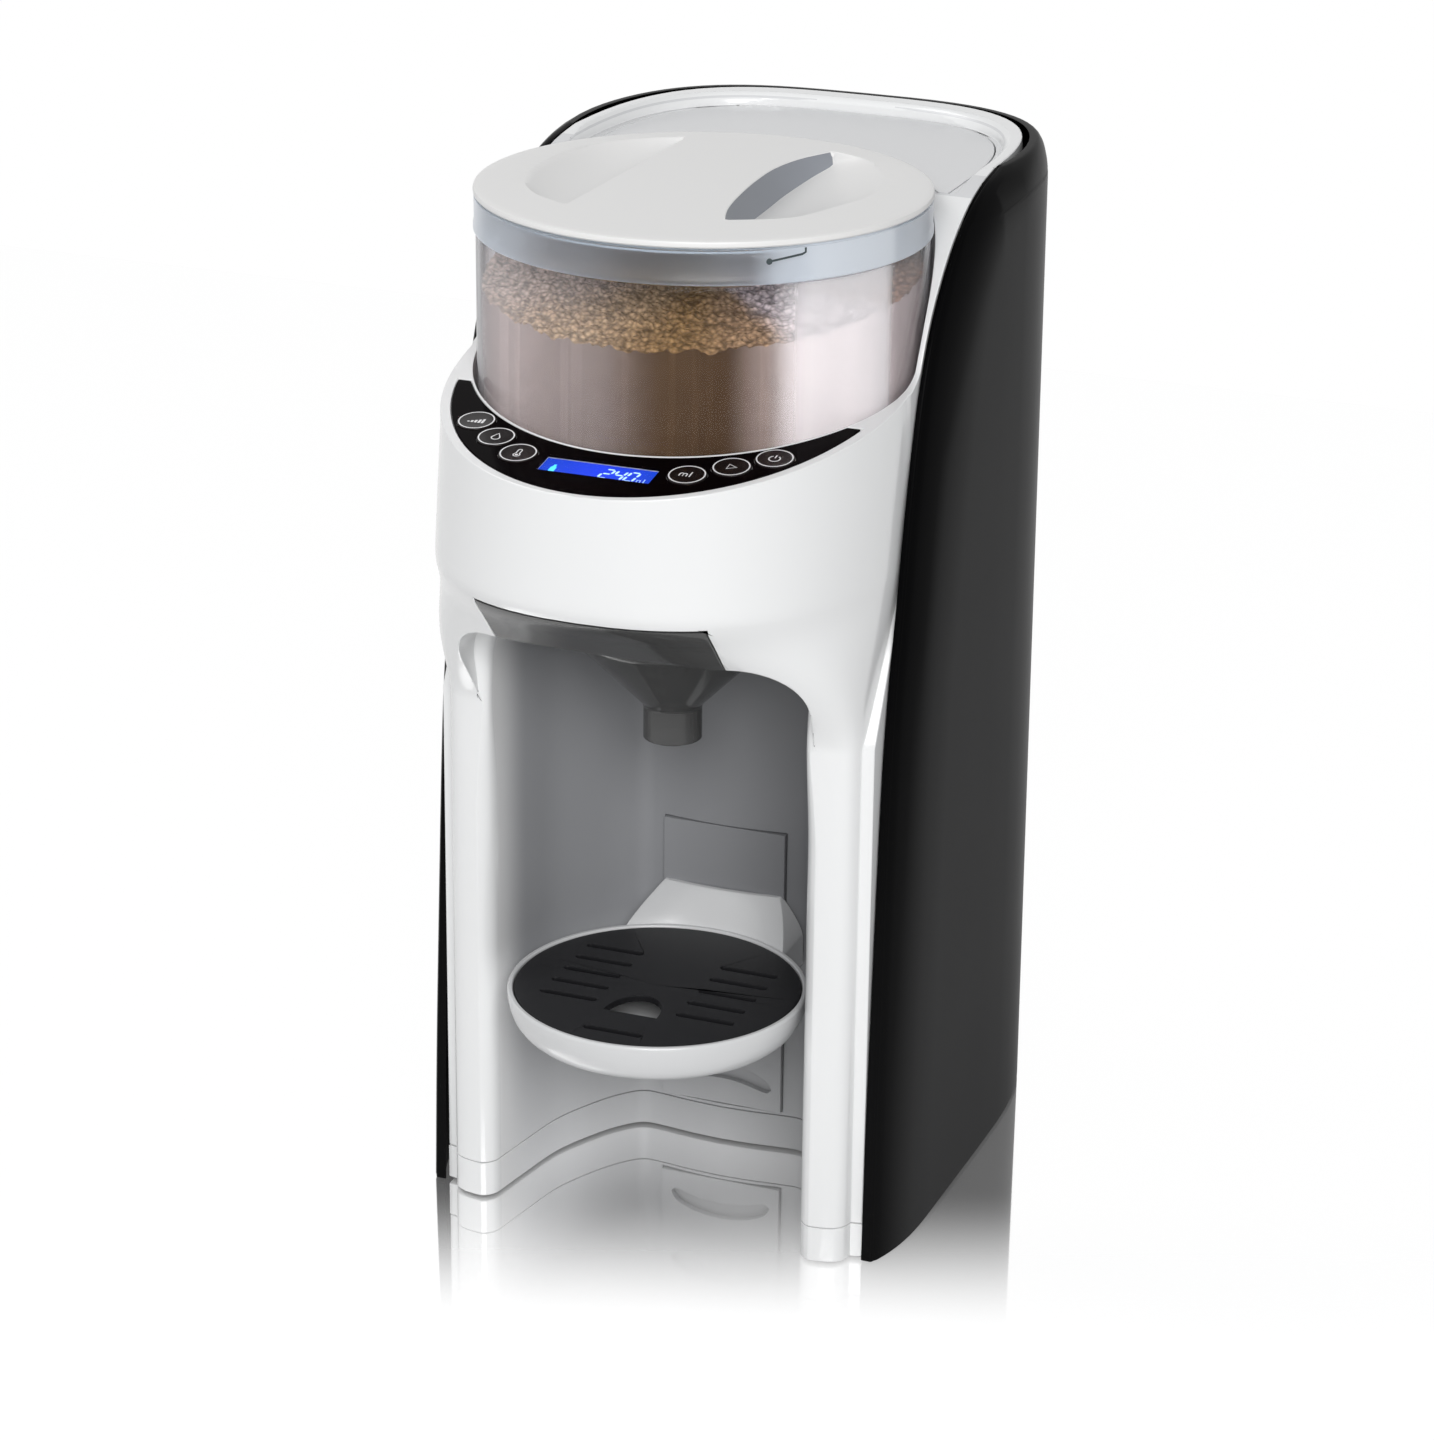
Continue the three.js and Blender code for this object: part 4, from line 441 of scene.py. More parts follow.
housing = machined(
    "front_housing_body",
    loft([ring_at(housing_plan(min(z, deck)), z) for z in heights]),
    cuts=[
        sky_cutter(),
        hollow,
        bay_cutter(),
        rod(well_radius, 0, 0, well_floor, above_all, 192),
        lip_mouth,
        brick(-43.9, 43.9, lip_ahead, 22, 253.7, 264),
        brick(-40.9, 40.9, lip_ahead, 22, 241.4, 264),
        rod(9.3, 0, -26, 258, 275),
        rod(7, 0, 62.5, 255, 275),
        on_panel(prism(crescent(0.3), -1.5, 6)),
        on_panel(prism(window_plan(0.3), -6.5, 2)),
        *[on_panel(rod(2.9, x, along_panel(y), -7.5, 2, 32)) for x, y in keys.values()],
        deck_dish(),
        tank_mouth,
        brick(-25.3, 25.3, 0, 30.8, 16.7, 135.3),
        brick(-22, 22, 20, 36, 84, 98),
    ],
)
softened(housing, 0.5)


def socket(group, name, default=None, side="INPUT"):
    made = group.interface.new_socket(name, in_out=side, socket_type="NodeSocketFloat")
    if default is not None:
        made.default_value = default


def set_inputs(node, values):
    for name, value in values.items():
        node.inputs[name].default_value = value


def added(tree, kind, values=None, **settings):
    """Adds a shader node with its settings and the values of its inputs."""
    node = tree.nodes.new("ShaderNode" + kind)
    for setting, value in settings.items():
        setattr(node, setting, value)
    set_inputs(node, values or {})
    return node


def wire(tree, *runs):
    """Joins nodes. Each run says the node, its output, the node it feeds and that one's input."""
    for source, output, target, taken_by in runs:
        tree.links.new(source.outputs[output], target.inputs[taken_by])


def colour_ramp(tree, stops, interpolation="LINEAR"):
    node = added(tree, "ValToRGB")
    ramp = node.color_ramp
    ramp.interpolation = interpolation
    for end, (place, colour) in zip(ramp.elements, (stops[0], stops[-1])):
        end.position, end.color = place, (*colour, 1)
    for place, colour in stops[1:-1]:
        ramp.elements.new(place).color = (*colour, 1)
    return node


def fresh_material(name):
    """A new material, its node tree and its main shader."""
    material = bpy.data.materials.new(name)
    material.use_nodes = True
    return material, material.node_tree, material.node_tree.nodes["Principled BSDF"]


def moulded_surface():
    """The faint haze and ripple of moulded plastic, as a roughness and a bump height."""
    group = bpy.data.node_groups.new("moulded_surface", "ShaderNodeTree")
    for name, default in (("Roughness", 0.2), ("Haze", 0.03), ("Waviness", 0.2)):
        socket(group, name, default)
    for name in ("Roughness", "Height"):
        socket(group, name, side="OUTPUT")
    inputs = group.nodes.new("NodeGroupInput")
    outputs = group.nodes.new("NodeGroupOutput")
    where = added(group, "TexCoord")
    cloud = added(group, "TexNoise", {"Scale": 22, "Detail": 3})
    grain = added(group, "TexNoise", {"Scale": 900})
    centred = added(group, "Math", {1: 0.5}, operation="SUBTRACT")
    spread = added(group, "Math", operation="MULTIPLY_ADD")
    height = added(group, "Math", operation="MULTIPLY")
    wire(
        group,
        (where, "Object", cloud, "Vector"),
        (where, "Object", grain, "Vector"),
        (cloud, "Fac", centred, 0),
        (centred, 0, spread, 0),
        (inputs, "Haze", spread, 1),
        (inputs, "Roughness", spread, 2),
        (grain, "Fac", height, 0),
        (inputs, "Waviness", height, 1),
        (spread, 0, outputs, "Roughness"),
        (height, 0, outputs, "Height"),
    )
    return group


moulding = moulded_surface()


def plastic(name, colour, roughness, haze=0.04, waviness=0.3, coat=0.0, metallic=0.0, specular=0.5):
    material, tree, shader = fresh_material(name)
    look = {"Base Color": (*colour, 1), "Metallic": metallic, "Coat Weight": coat}
    set_inputs(shader, {**look, "Specular IOR Level": specular})
    skin = {"Roughness": roughness, "Haze": haze, "Waviness": waviness}
    surface = added(tree, "Group", skin, node_tree=moulding)
    bump = added(tree, "Bump", {"Strength": 0.08, "Distance": 0.0001})
    wire(
        tree,
        (surface, "Roughness", shader, "Roughness"),
        (surface, "Height", bump, "Height"),
        (bump, "Normal", shader, "Normal"),
    )
    return material


gloss_white = plastic("gloss_white_plastic", (0.84, 0.845, 0.845), 0.2, coat=0.2)
dressed(housing, "machine", gloss_white, "front_housing")


def bay_painted_shade_finish():
    """The bay's inside: the columns' gloss runs out at its mouth into a duller satin, greyed by painted shade
    whose tones by height and side follow the light in the photograph."""
    material = plastic("bay_painted_shade_plastic", (0.5, 0.5, 0.5), 0.45, haze=0.1, waviness=0.8, specular=0.3)
    tree = material.node_tree
    where = added(tree, "TexCoord")
    split = added(tree, "SeparateXYZ")
    mouth, inside = ((y + axis_behind_origin) * mm for y in (-50, -26))
    depth = added(
        tree, "MapRange", {"From Min": mouth, "From Max": inside}, interpolation_type="SMOOTHSTEP"
    )
    tone = added(tree, "Mix", {"A": (0.8, 0.8, 0.8, 1)}, data_type="RGBA")
    rise = added(tree, "MapRange", {"From Max": bay_ceiling * mm})
    # Painted shade: from near white at the mouth the walls grey inward, most from about 100 mm up and towards
    # the right-hand wall.
    bay_painted_shade_ramp = colour_ramp(
        tree, [(0, (0.78, 0.785, 0.795)), (0.4, (0.34, 0.345, 0.36)), (1, (0.38, 0.385, 0.4))]
    )
    side = bay_half * mm
    across = added(tree, "MapRange", {"From Min": -side, "From Max": side, "To Min": 1, "To Max": 0.4})
    shaded = added(tree, "VectorMath", operation="SCALE")
    wire(
        tree,
        (where, "Object", split, 0),
        (split, "X", across, "Value"),
        (split, "Y", depth, "Value"),
        (split, "Z", rise, "Value"),
        (rise, "Result", bay_painted_shade_ramp, "Fac"),
        (bay_painted_shade_ramp, "Color", shaded, 0),
        (across, "Result", shaded, "Scale"),
        (shaded, "Vector", tone, "B"),
        (depth, "Result", tone, "Factor"),
        (tone, "Result", tree.nodes["Principled BSDF"], "Base Color"),
    )
    return material


bay_painted_shade = bay_painted_shade_finish()


def line_bay(piece):
    """Gives the bay's finish, greyed by painted shade, to the faces of a piece that line the bay."""
    piece.data.materials.append(bay_painted_shade)
    for face in piece.data.polygons:
        x, y, z = face.center / mm
        if abs(x) < bay_half + 0.6 and -46.5 < y - axis_behind_origin < 33 and z < bay_ceiling + 0.2:
            face.material_index = 1


line_bay(housing)
# Painted shade: the dish floor takes a greyer copy of the white, for the shade on the flat deck.
deck_painted_shade_white = plastic("deck_painted_shade_white_plastic", (0.68, 0.685, 0.695), 0.26, coat=0.1)
housing.data.materials.append(deck_painted_shade_white)
for face in housing.data.polygons:
    x, y, z = face.center / mm
    if deck - 5.4 < z < deck - 1.5 and y - axis_behind_origin > 20 and face.normal.z > 0.5:
        face.material_index = 2

# Rear shell
# The piano-black wrap that hugs the housing from one front edge round the back to the other. It is
# one moulding, widest behind the container, with a rounded crown and a rolled front edge.
edge_roll = 1.2


def shell_plan(edge, z):
    rise = z / deck
    half = 96.9 - 2.2 * rise - 5 * crown(z)
    inner = cheek - rim_inset * crown(z) + 0.3
    outer = min(inner + 4.7 + (2.3 - 4.7) * rise, half)
    rear = rear_reach - 3 * crown(z)
    end = max(min(edge + 50, widest), edge + 10)

    def flank(edge_x, half_x, reach):
        places = [edge + (end - edge) * (i / 14) ** 1.5 for i in range(14)]
        places += [max(end, y) for x, y in rear_arc(half_x, reach)]
        points = []
        for y in places:
            arc = max(0.0, 1 - share(y, widest, reach) ** 3.2) ** (1 / 3.2)
            drawn_in = (half_x - edge_x) * (1 - share(y, edge, edge + 50)) ** 3
            points.append((half_x * arc - drawn_in, y))
        return points

    outside = flank(outer, half, rear)
    inside_run = flank(inner, max(inner, half - 2.5), rear - 2.5)
    x0, y0 = outside[0]
    turns = [i / 5 * math.pi / 2 for i in range(6)]
    nose = [(x0 - edge_roll * (1 - math.sin(a)), y0 + edge_roll * (1 - math.cos(a))) for a in turns[:-1]]
    outside = nose + [(x0, y0 + edge_roll)] + [p for p in outside[1:] if p[1] > y0 + edge_roll + 0.2]
    while len(outside) < 38:
        outside.insert(6, ((outside[5][0] + outside[6][0]) / 2, (outside[5][1] + outside[6][1]) / 2))
    return mirrored(outside) + list(reversed(mirrored(inside_run)))


shell_rings = [ring_at(shell_plan(edge, max(z, 1)), max(z, 1)) for edge, z in edge_run]
shell = to_object("rear_shell_body", loft(shell_rings))
softened(shell, 0.5, sharper_than=50)
gloss_black = plastic("piano_black_plastic", (0.002, 0.002, 0.0022), 0.3, haze=0.05)
# Painted reflection: behind the polished front edge a grey band, paler low down, stands in the base colour
# for the floor mirrored in the gloss.
painted_reflection = shell.data.attributes.new("painted_reflection", "FLOAT", "POINT")
for v, mark in zip(shell.data.vertices, painted_reflection.data):
    z = v.co.z / mm
    edge_y = min(edge_run, key=lambda p: abs(p[1] - z))[0]
    behind = v.co.y / mm - axis_behind_origin - edge_y
    low, high = share(z, 240, 60), share(z, 300, 372)
    satin = share(behind, 14 - 8 * low + 20 * high, 23 + 11 * low + 22 * high) * share(deck - z, 12, 22)
    mark.value = 0.08 * low + (0.78 - 0.55 * z / deck) * satin
tree = gloss_black.node_tree
held = added(tree, "Attribute", attribute_name="painted_reflection")
polished, reflected_floor_grey = (0.002, 0.002, 0.0022, 1), (0.052, 0.052, 0.0525, 1)
tone = added(tree, "Mix", {"A": polished, "B": reflected_floor_grey}, data_type="RGBA")
gleam = added(tree, "MapRange", {"To Min": 0.015, "To Max": 0})
wire(
    tree,
    (held, "Fac", tone, "Factor"),
    (held, "Fac", gleam, "Value"),
    (tone, "Result", tree.nodes["Principled BSDF"], "Base Color"),
    (gleam, "Result", tree.nodes["Principled BSDF"], "Specular IOR Level"),
)
dressed(shell, "machine", gloss_black, "rear_shell", sharp_from=60)

# Base
# The white foot frame, a shallow moulding with the bay cut into it. It closes against the housing in
# a fine seam, and screws hold it from below.
base_low, base_top = 1, seam - 0.3
under_base = loft(
    [
        ring_at(mirrored([(0, 34), (78.4, 34)] + rear_arc(82.4, rear_reach - 8.4)), z)
        for z in (base_low + 2.5, base_top + 6)
    ]
)
base = machined(
    "base_frame",
    prism(housing_plan(seam), base_low, base_top),
    cuts=[bay_cutter(), under_base],
)
softened(base, 0.8, where=lambda x, y, z: z < 3)
softened(base, 0.25, where=lambda x, y, z: z > 12)
satin_white = plastic("satin_white_plastic", (0.79, 0.79, 0.785), 0.36)
dressed(base, "machine", gloss_white, "base_plate")
line_bay(base)

# Rail panel
# A satin plate of white plastic let into the bay's back wall, greyed by the bay's painted shade. It has
# an arched slot for the tray's tongue at each of three heights.
rail_height, rail_droop, rail_half = 6.4, 5, 21
top_slot, slot_pitch = 90.1, 29.5


def arched_slot(middle):
    upper, lower = [], []
    for i in range(25):
        u = 2 * i / 24 - 1
        thick = rail_height / 2 * (1 - u**8) ** 0.5
        line = middle - rail_droop * u * u
        upper.append((rail_half * u, line + thick))
        lower.append((rail_half * u, line - thick))
    return loft([[(x, y, z) for x, z in upper + lower[-2:0:-1]] for y in (20, 40)])


rail_panel = machined(
    "rail_panel_plate",
    brick(-25, 25, 27.5, 30.5, 17, 135),
    cuts=[arched_slot(top_slot - i * slot_pitch) for i in range(3)],
)
softened(rail_panel, 0.35, cut_up=True)
# Its grey is the bay's painted shade.
dressed(rail_panel, "machine", bay_painted_shade, "rail_panel")

# Control panel
# A crescent of gloss black acrylic let into the sloping top of the nose, bored for the six keys and
# for the display's lens.
key_bore = 7.25
panel = machined(
    "control_panel_plate",
    on_panel(prism(crescent(0), -1.2, 0)),
    cuts=[on_panel(rod(key_bore, x, along_panel(y), -4, 4)) for x, y in keys.values()]
    + [on_panel(prism(window_plan(0), -4, 4))],
)
softened(panel, 0.2)
panel_gloss = plastic(
    "panel_gloss_black", (0.002, 0.001, 0.0013), 0.08, haze=0.01, waviness=0.05, specular=0.012
)
dressed(panel, "machine", panel_gloss, "control_panel")

# Keys
# Six round push keys of the panel's black acrylic, slightly dished, each printed with a pale ring and
# a plain sign: level bars, a drop, a thermometer, millilitres, a triangle and a switch mark.
key_black = plastic("key_black", (0.008, 0.005, 0.005), 0.14, haze=0.02, specular=0.2)
print_pale = plastic("printed_marks", (0.86, 0.86, 0.87), 0.4)


def flat_shape(bm, outline, height):
    """Adds a filled outline at a height."""
    verts = [bm.verts.new((x, y, height)) for x, y in outline]
    bm.faces.new(verts)


def stroke(bm, points, width, height, closed=False):
    """Adds a line of a width along points, as print of even thickness."""
    count = len(points)
    left, right = [], []
    for i, (x, y) in enumerate(points):
        ahead = points[(i + 1) % count] if closed or i + 1 < count else points[i]
        behind = points[i - 1] if closed or i else points[i]
        dx, dy = ahead[0] - behind[0], ahead[1] - behind[1]
        length = math.hypot(dx, dy) or 1
        nx, ny = -dy / length * width / 2, dx / length * width / 2
        left.append(bm.verts.new((x + nx, y + ny, height)))
        right.append(bm.verts.new((x - nx, y - ny, height)))
    for i in range(count if closed else count - 1):
        j = (i + 1) % count
        bm.faces.new((left[i], right[i], right[j], left[j]))


def print_thick(bm, thickness=0.02):
    bm.normal_update()
    bmesh.ops.solidify(bm, geom=bm.faces[:], thickness=thickness)


def round_run(radius, x=0, y=0, start=0, end=360, steps=32):
    turns = [math.radians(start + (end - start) * i / steps) for i in range(steps + 1)]
    return [(x + radius * math.cos(a), y + radius * math.sin(a)) for a in turns]


def draw_bars(bm, h):
    for i in range(5):
        x = -3 + i * 1.3
        flat_shape(bm, [(x, -1.7), (x + 0.9, -1.7), (x + 0.9, -0.9 + i * 0.62), (x, -1.1 + i * 0.62)], h)


def draw_drop(bm, h):
    outline = round_run(1.5, 0, -0.7, -215, 35, 20) + [(0, 2.5)]
    stroke(bm, outline, 0.45, h, closed=True)


def draw_thermometer(bm, h):
    stem, bulb = round_run(0.7, 0, 1.9, 0, 180, 10), round_run(1.2, 0, -1.5, 125, 415, 18)
    stroke(bm, stem + bulb, 0.4, h, closed=True)
    flat_shape(bm, round_run(0.6, 0, -1.5, 0, 340, 14), h)


def draw_millilitres(bm, h):
    for x in (-2.6, -1.3):
        arch = round_run(0.65, x + 0.65, 0.2, 180, 0, 8)
        stroke(bm, [(x, -1.3), (x, 0.1)] + arch + [(x + 1.3, -1.3)], 0.42, h)
    stroke(bm, [(1.2, -1.3), (1.2, 2.2)], 0.45, h)


def draw_triangle(bm, h):
    stroke(bm, [(-1.3, -1.7), (1.9, 0), (-1.3, 1.7)], 0.45, h, closed=True)


def draw_switch(bm, h):
    stroke(bm, round_run(2, 0, -0.2, 120, 420, 26), 0.45, h)
    stroke(bm, [(0, 0.3), (0, 2.4)], 0.45, h)


signs = {
    "powder_level": draw_bars,
    "water_type": draw_drop,
    "temperature": draw_thermometer,
    "volume": draw_millilitres,
    "start": draw_triangle,
    "power": draw_switch,
}
for key, (x, y) in keys.items():
    profile = [(0, -6.05), (2.6, -6.05), (2.6, -0.55), (7, -0.55), (7, 0.05), (6.93, 0.25), (6.75, 0.37)]
    profile += [(6.5, 0.4), (5.9, 0.36), (4, 0.26), (0, 0.2)]
    cap = to_object("cap_" + key, on_panel(turned(profile, x, along_panel(y), 64)))
    dressed(cap, "key_" + key, key_black, "button_" + key)
    marks = bmesh.new()
    stroke(marks, round_run(6.3, steps=72), 0.5, 0.45)
    signs[key](marks, 0.34)
    print_thick(marks)
    bmesh.ops.transform(marks, matrix=Matrix.Translation((x, along_panel(y), 0)), verts=marks.verts)
    ink = to_object("marks_" + key, on_panel(marks))
    dressed(ink, "key_" + key, print_pale, even=False)

# Display
# A clear moulded lens let into the panel, over a backlit blue liquid-crystal cell. The cell shows a
# plain number with its unit, and a small sign.
lens_glass, glass = fresh_material("display_lens_glass")[::2]
set_inputs(
    glass,
    {"Base Color": (0.9, 0.92, 1, 1), "Roughness": 0.04, "IOR": 1.08, "Transmission Weight": 1},
)
display_lens = to_object("display_lens_sheet", on_panel(prism(window_plan(-0.15), -1, 0)))
softened(display_lens, 0.15)
dressed(display_lens, "machine", lens_glass, "display_lens")


def display_glow():
    """Blue backlight, brighter to the middle, with the cell's fine dot grid in it."""
    material, tree, shader = fresh_material("display_backlight")
    set_inputs(
        shader,
        {
            "Base Color": (0.005, 0.01, 0.1, 1),
            "Emission Strength": 0.95,
            "Roughness": 0.3,
            "Specular IOR Level": 0.05,
        },
    )
    where = added(tree, "TexCoord")
    split = added(tree, "SeparateXYZ")
    across = added(tree, "Math", operation="ABSOLUTE")
    ramp = colour_ramp(tree, [(0, (0.02, 0.07, 0.98)), (0.021, (0.008, 0.07, 0.66))])
    dots = added(tree, "TexVoronoi", {"Scale": 3000})
    dim = added(tree, "Mix", data_type="RGBA", blend_type="MULTIPLY")
    dim.inputs["Factor"].default_value = 0.15
    wire(
        tree,
        (where, "Object", split, 0),
        (split, "X", across, 0),
        (across, 0, ramp, "Fac"),
        (where, "Object", dots, "Vector"),
        (ramp, "Color", dim, "A"),
        (dots, "Color", dim, "B"),
        (dim, "Result", shader, "Emission Color"),
    )
    return material


display_cell = to_object("display_cell", on_panel(prism(window_plan(-0.3), -5.7, -1.6)))
softened(display_cell, 0.2)
dressed(display_cell, "machine", display_glow(), "display_module")
segment_ends = {
    "a": ((0, 2), (1, 2)),
    "b": ((1, 2), (1, 1)),
    "c": ((1, 1), (1, 0)),
    "d": ((0, 0), (1, 0)),
    "e": ((0, 1), (0, 0)),
    "f": ((0, 2), (0, 1)),
    "g": ((0, 1), (1, 1)),
}
lit = {"2": "abged", "4": "fgbc", "0": "abcdef"}


def seven_segment(bm, digit, x, y, width, height, thick, z):
    """One leaning seven-segment figure, each segment a bar with pointed ends."""
    for name in lit[digit]:
        (c0, r0), (c1, r1) = segment_ends[name]
        corners = []
        for c, r in ((c0, r0), (c1, r1)):
            corners.append(Vector((x + c * width + r * height * 0.09, y + r * height / 2)))
        run = corners[1] - corners[0]
        along = run.normalized()
        side = Vector((-along.y, along.x)) * thick / 2
        a, b = corners[0] + along * thick * 0.3, corners[1] - along * thick * 0.3
        inset = along * thick / 2
        flat_shape(bm, [a, a + inset + side, b - inset + side, b, b - inset - side, a + inset - side], z)


figures = bmesh.new()
base_line, print_level = along_panel(-99.6), -1.5
for i, digit in enumerate("240"):
    seven_segment(figures, digit, 1.0 + i * 4.7, base_line, 3.3, 6.4, 0.85, print_level)
unit = [(15.4, 0), (15.4, 1.6), (16.6, 1.6), (16.6, 0)]
stroke(figures, [(x, base_line + y) for x, y in unit], 0.3, print_level)
stroke(figures, [(17.9, base_line), (17.9, base_line + 2.6)], 0.3, print_level)
print_thick(figures)
shown = to_object("display_figures", on_panel(figures))


def lit_print(name, colour, light):
    material = plastic(name, colour, 0.4)
    shader = material.node_tree.nodes["Principled BSDF"]
    set_inputs(shader, {"Emission Color": (*light, 1), "Emission Strength": 0.8})
    return material


figure_light = lit_print("display_figures_light", (0.4, 0.6, 0.9), (0.5, 0.72, 1))
dressed(shown, "machine", figure_light, even=False)
flask = bmesh.new()
flask_plan = [(-17.6, 0), (-15.4, 0), (-15.4, 3), (-16, 3.9), (-16, 5), (-17, 5), (-17, 3.9), (-17.6, 3)]
flat_shape(flask, [(x, base_line + y) for x, y in flask_plan], print_level)
print_thick(flask)
sign = to_object("display_sign", on_panel(flask))
cyan_light = lit_print("display_sign_light", (0.1, 0.5, 0.8), (0.05, 0.75, 1))
dressed(sign, "machine", cyan_light, even=False)

# Powder container
# A tub of clear plastic, moulded with a thin wall and stepped in at the neck for the lid. It stands
# loose in the housing's well and lifts out.
def clear_plastic(name, tint, rim, roughness, clear=1.0, from_side=0.0, shadow=0.9, ior=1.45):
    """Plastic that lets light through, more strongly tinted where it is seen along its wall. Its
    clarity falls from clear, face on, by from_side."""
    material, tree, shader = fresh_material(name)
    shader.inputs["IOR"].default_value = ior
    facing = added(tree, "LayerWeight", {"Blend": 0.5})
    sharp = added(tree, "Math", {1: 3}, name="Grazing", operation="POWER")
    tone = added(tree, "Mix", {"A": (*tint, 1), "B": (*rim, 1)}, data_type="RGBA")
    clarity = added(tree, "MapRange", {"To Min": clear, "To Max": clear - from_side})
    surface = added(tree, "Group", {"Roughness": roughness, "Haze": 0.02}, node_tree=moulding)
    passing = added(tree, "BsdfTransparent", {"Color": (*[shadow * c for c in tint], 1)})
    rays = added(tree, "LightPath")
    mix = added(tree, "MixShader")
    wire(
        tree,
        (facing, "Facing", sharp, 0),
        (sharp, 0, tone, "Factor"),
        (facing, "Facing", clarity, "Value"),
        (tone, "Result", shader, "Base Color"),
        (clarity, "Result", shader, "Transmission Weight"),
        (surface, "Roughness", shader, "Roughness"),
        (rays, "Is Shadow Ray", mix, 0),
        (shader, 0, mix, 1),
        (passing, 0, mix, 2),
        (mix, 0, tree.nodes["Material Output"], "Surface"),
    )
    return material


clear_wall = clear_plastic("clear_container_plastic", (0.96, 0.96, 0.97), (0.05, 0.06, 0.09), 0.03)
hazed_reflecting_wall = clear_plastic(
    "hazed_and_reflecting_container_plastic", (0.93, 0.915, 0.93), (0.012, 0.015, 0.03), 0.03, ior=1.12
)


def stops_round(tree, stops):
    """A ramp of colours set by the angle round the container, in degrees from its front."""
    where = added(tree, "TexCoord")
    split = added(tree, "SeparateXYZ")
    front = added(tree, "Math", {0: axis_behind_origin * mm}, operation="SUBTRACT")
    angle = added(tree, "Math", operation="ARCTAN2")
    turn_share = added(tree, "MapRange", {"From Min": -math.pi, "From Max": math.pi})
    ramp = colour_ramp(tree, [(place / 360 + 0.5, colour) for place, colour in stops], "EASE")
    wire(
        tree,
        (where, "Object", split, 0),
        (split, "Y", front, 1),
        (split, "X", angle, 0),
        (front, 0, angle, 1),
        (angle, 0, turn_share, "Value"),
        (turn_share, "Result", ramp, "Fac"),
    )
    return ramp


def set_clarity_round(material, stops):
    """A clarity at each angle round the container; where it falls, the wall's own pale colour shows."""
    tree = material.node_tree
    clarity_by_angle = stops_round(tree, [(place, (clear,) * 3) for place, clear in stops])
    edge = added(tree, "MapRange", {"From Min": 0.35, "From Max": 0.7, "To Min": 1, "To Max": 0})
    clear = added(tree, "Math", operation="MULTIPLY")
    wire(
        tree,
        (tree.nodes["Grazing"], 0, edge, "Value"),
        (clarity_by_angle, "Color", clear, 0),
        (edge, "Result", clear, 1),
        (clear, 0, tree.nodes["Principled BSDF"], "Transmission Weight"),
    )


# On the tub, less clarity is partly fine powder clinging inside the wall and, in the pale band to the right,
# painted reflection.
clarity_by_angle = [(-70, 0.95), (-60, 0.9), (-45, 0.87), (-18, 0.96), (8, 1), (37, 1), (50, 0.62), (75, 0.52)]
set_clarity_round(hazed_reflecting_wall, clarity_by_angle + [(76.5, 0.93), (111, 0.95)])
tub_profile = [(9.3, 282.6), (80.4, 282.6), (81.2, 282.9), (81.6, 283.8), (81.6, 376.6), (81.3, 377.4)]
tub_profile += [(80.5, 377.7), (80.2, 378.2), (80.2, 388.2), (79.8, 388.6), (78.4, 388.6), (78, 388.2)]
tub_profile += [(78, 378), (78.6, 376.6), (79.4, 375), (79.4, 286), (78.6, 285), (9.3, 285)]
tub = to_object("container_tub", turned(tub_profile, sides=192))
dressed(tub, "container", hazed_reflecting_wall, "powder_container", even=False)

# Formula powder
# Fine powder settled smooth against the wall, loose and clumped on top where it was scooped in. Its
# tones round the container follow the light and shadow in the photograph.
def powder_shade(name, low, high, size, bump_size, crumbs=False):
    """Powder mottled from low to high at a size, in soft clouds or in crumbs."""
    material, tree, shader = fresh_material(name)
    set_inputs(shader, {"Roughness": 0.95, "Specular IOR Level": 0.1})
    where = added(tree, "TexCoord")
    grains = added(tree, "TexVoronoi" if crumbs else "TexNoise", {"Scale": 1 / size})
    tall = "Distance" if crumbs else "Fac"
    start, end = (0.75, 0.1) if crumbs else (0.35, 0.65)
    mottle = added(tree, "MapRange", {"From Min": start, "From Max": end, "To Min": low, "To Max": high})
    bump = added(tree, "Bump", {"Strength": 0.6, "Distance": bump_size}, invert=crumbs)
    mixed = added(tree, "VectorMath", name="Mottled", operation="SCALE")
    wire(
        tree,
        (where, "Object", grains, "Vector"),
        (grains, tall, mottle, "Value"),
        (grains, tall, bump, "Height"),
        (bump, "Normal", shader, "Normal"),
        (mottle, "Result", mixed, "Scale"),
        (mixed, "Vector", shader, "Base Color"),
    )
    return material


def coloured_round(material, stops):
    tree = material.node_tree
    wire(tree, (stops_round(tree, stops), "Color", tree.nodes["Mottled"], 0))


wall_powder = powder_shade("packed_powder", 0.96, 1.04, 0.006, 0.00003)
wall_stops = [(-75, (0.3, 0.25, 0.24)), (-44, (0.34, 0.28, 0.26)), (-9, (0.17, 0.14, 0.125))]
wall_stops += [(13, (0.06, 0.037, 0.02)), (27, (0.05, 0.03, 0.016)), (38, (0.2, 0.16, 0.14))]
wall_stops += [(49, (0.6, 0.53, 0.51)), (70, (0.7, 0.62, 0.6)), (82, (0.27, 0.225, 0.22))]
wall_stops += [(111, (0.25, 0.2, 0.19))]
coloured_round(wall_powder, wall_stops)
top_powder = powder_shade("loose_powder", 0.45, 1.35, 0.0019, 0.0008, crumbs=True)
top_stops = [(-110, (0.5, 0.4, 0.34)), (-60, (0.5, 0.4, 0.33)), (-15, (0.36, 0.26, 0.16))]
top_stops += [(15, (0.24, 0.15, 0.065)), (38, (0.3, 0.2, 0.12)), (52, (0.6, 0.53, 0.53))]
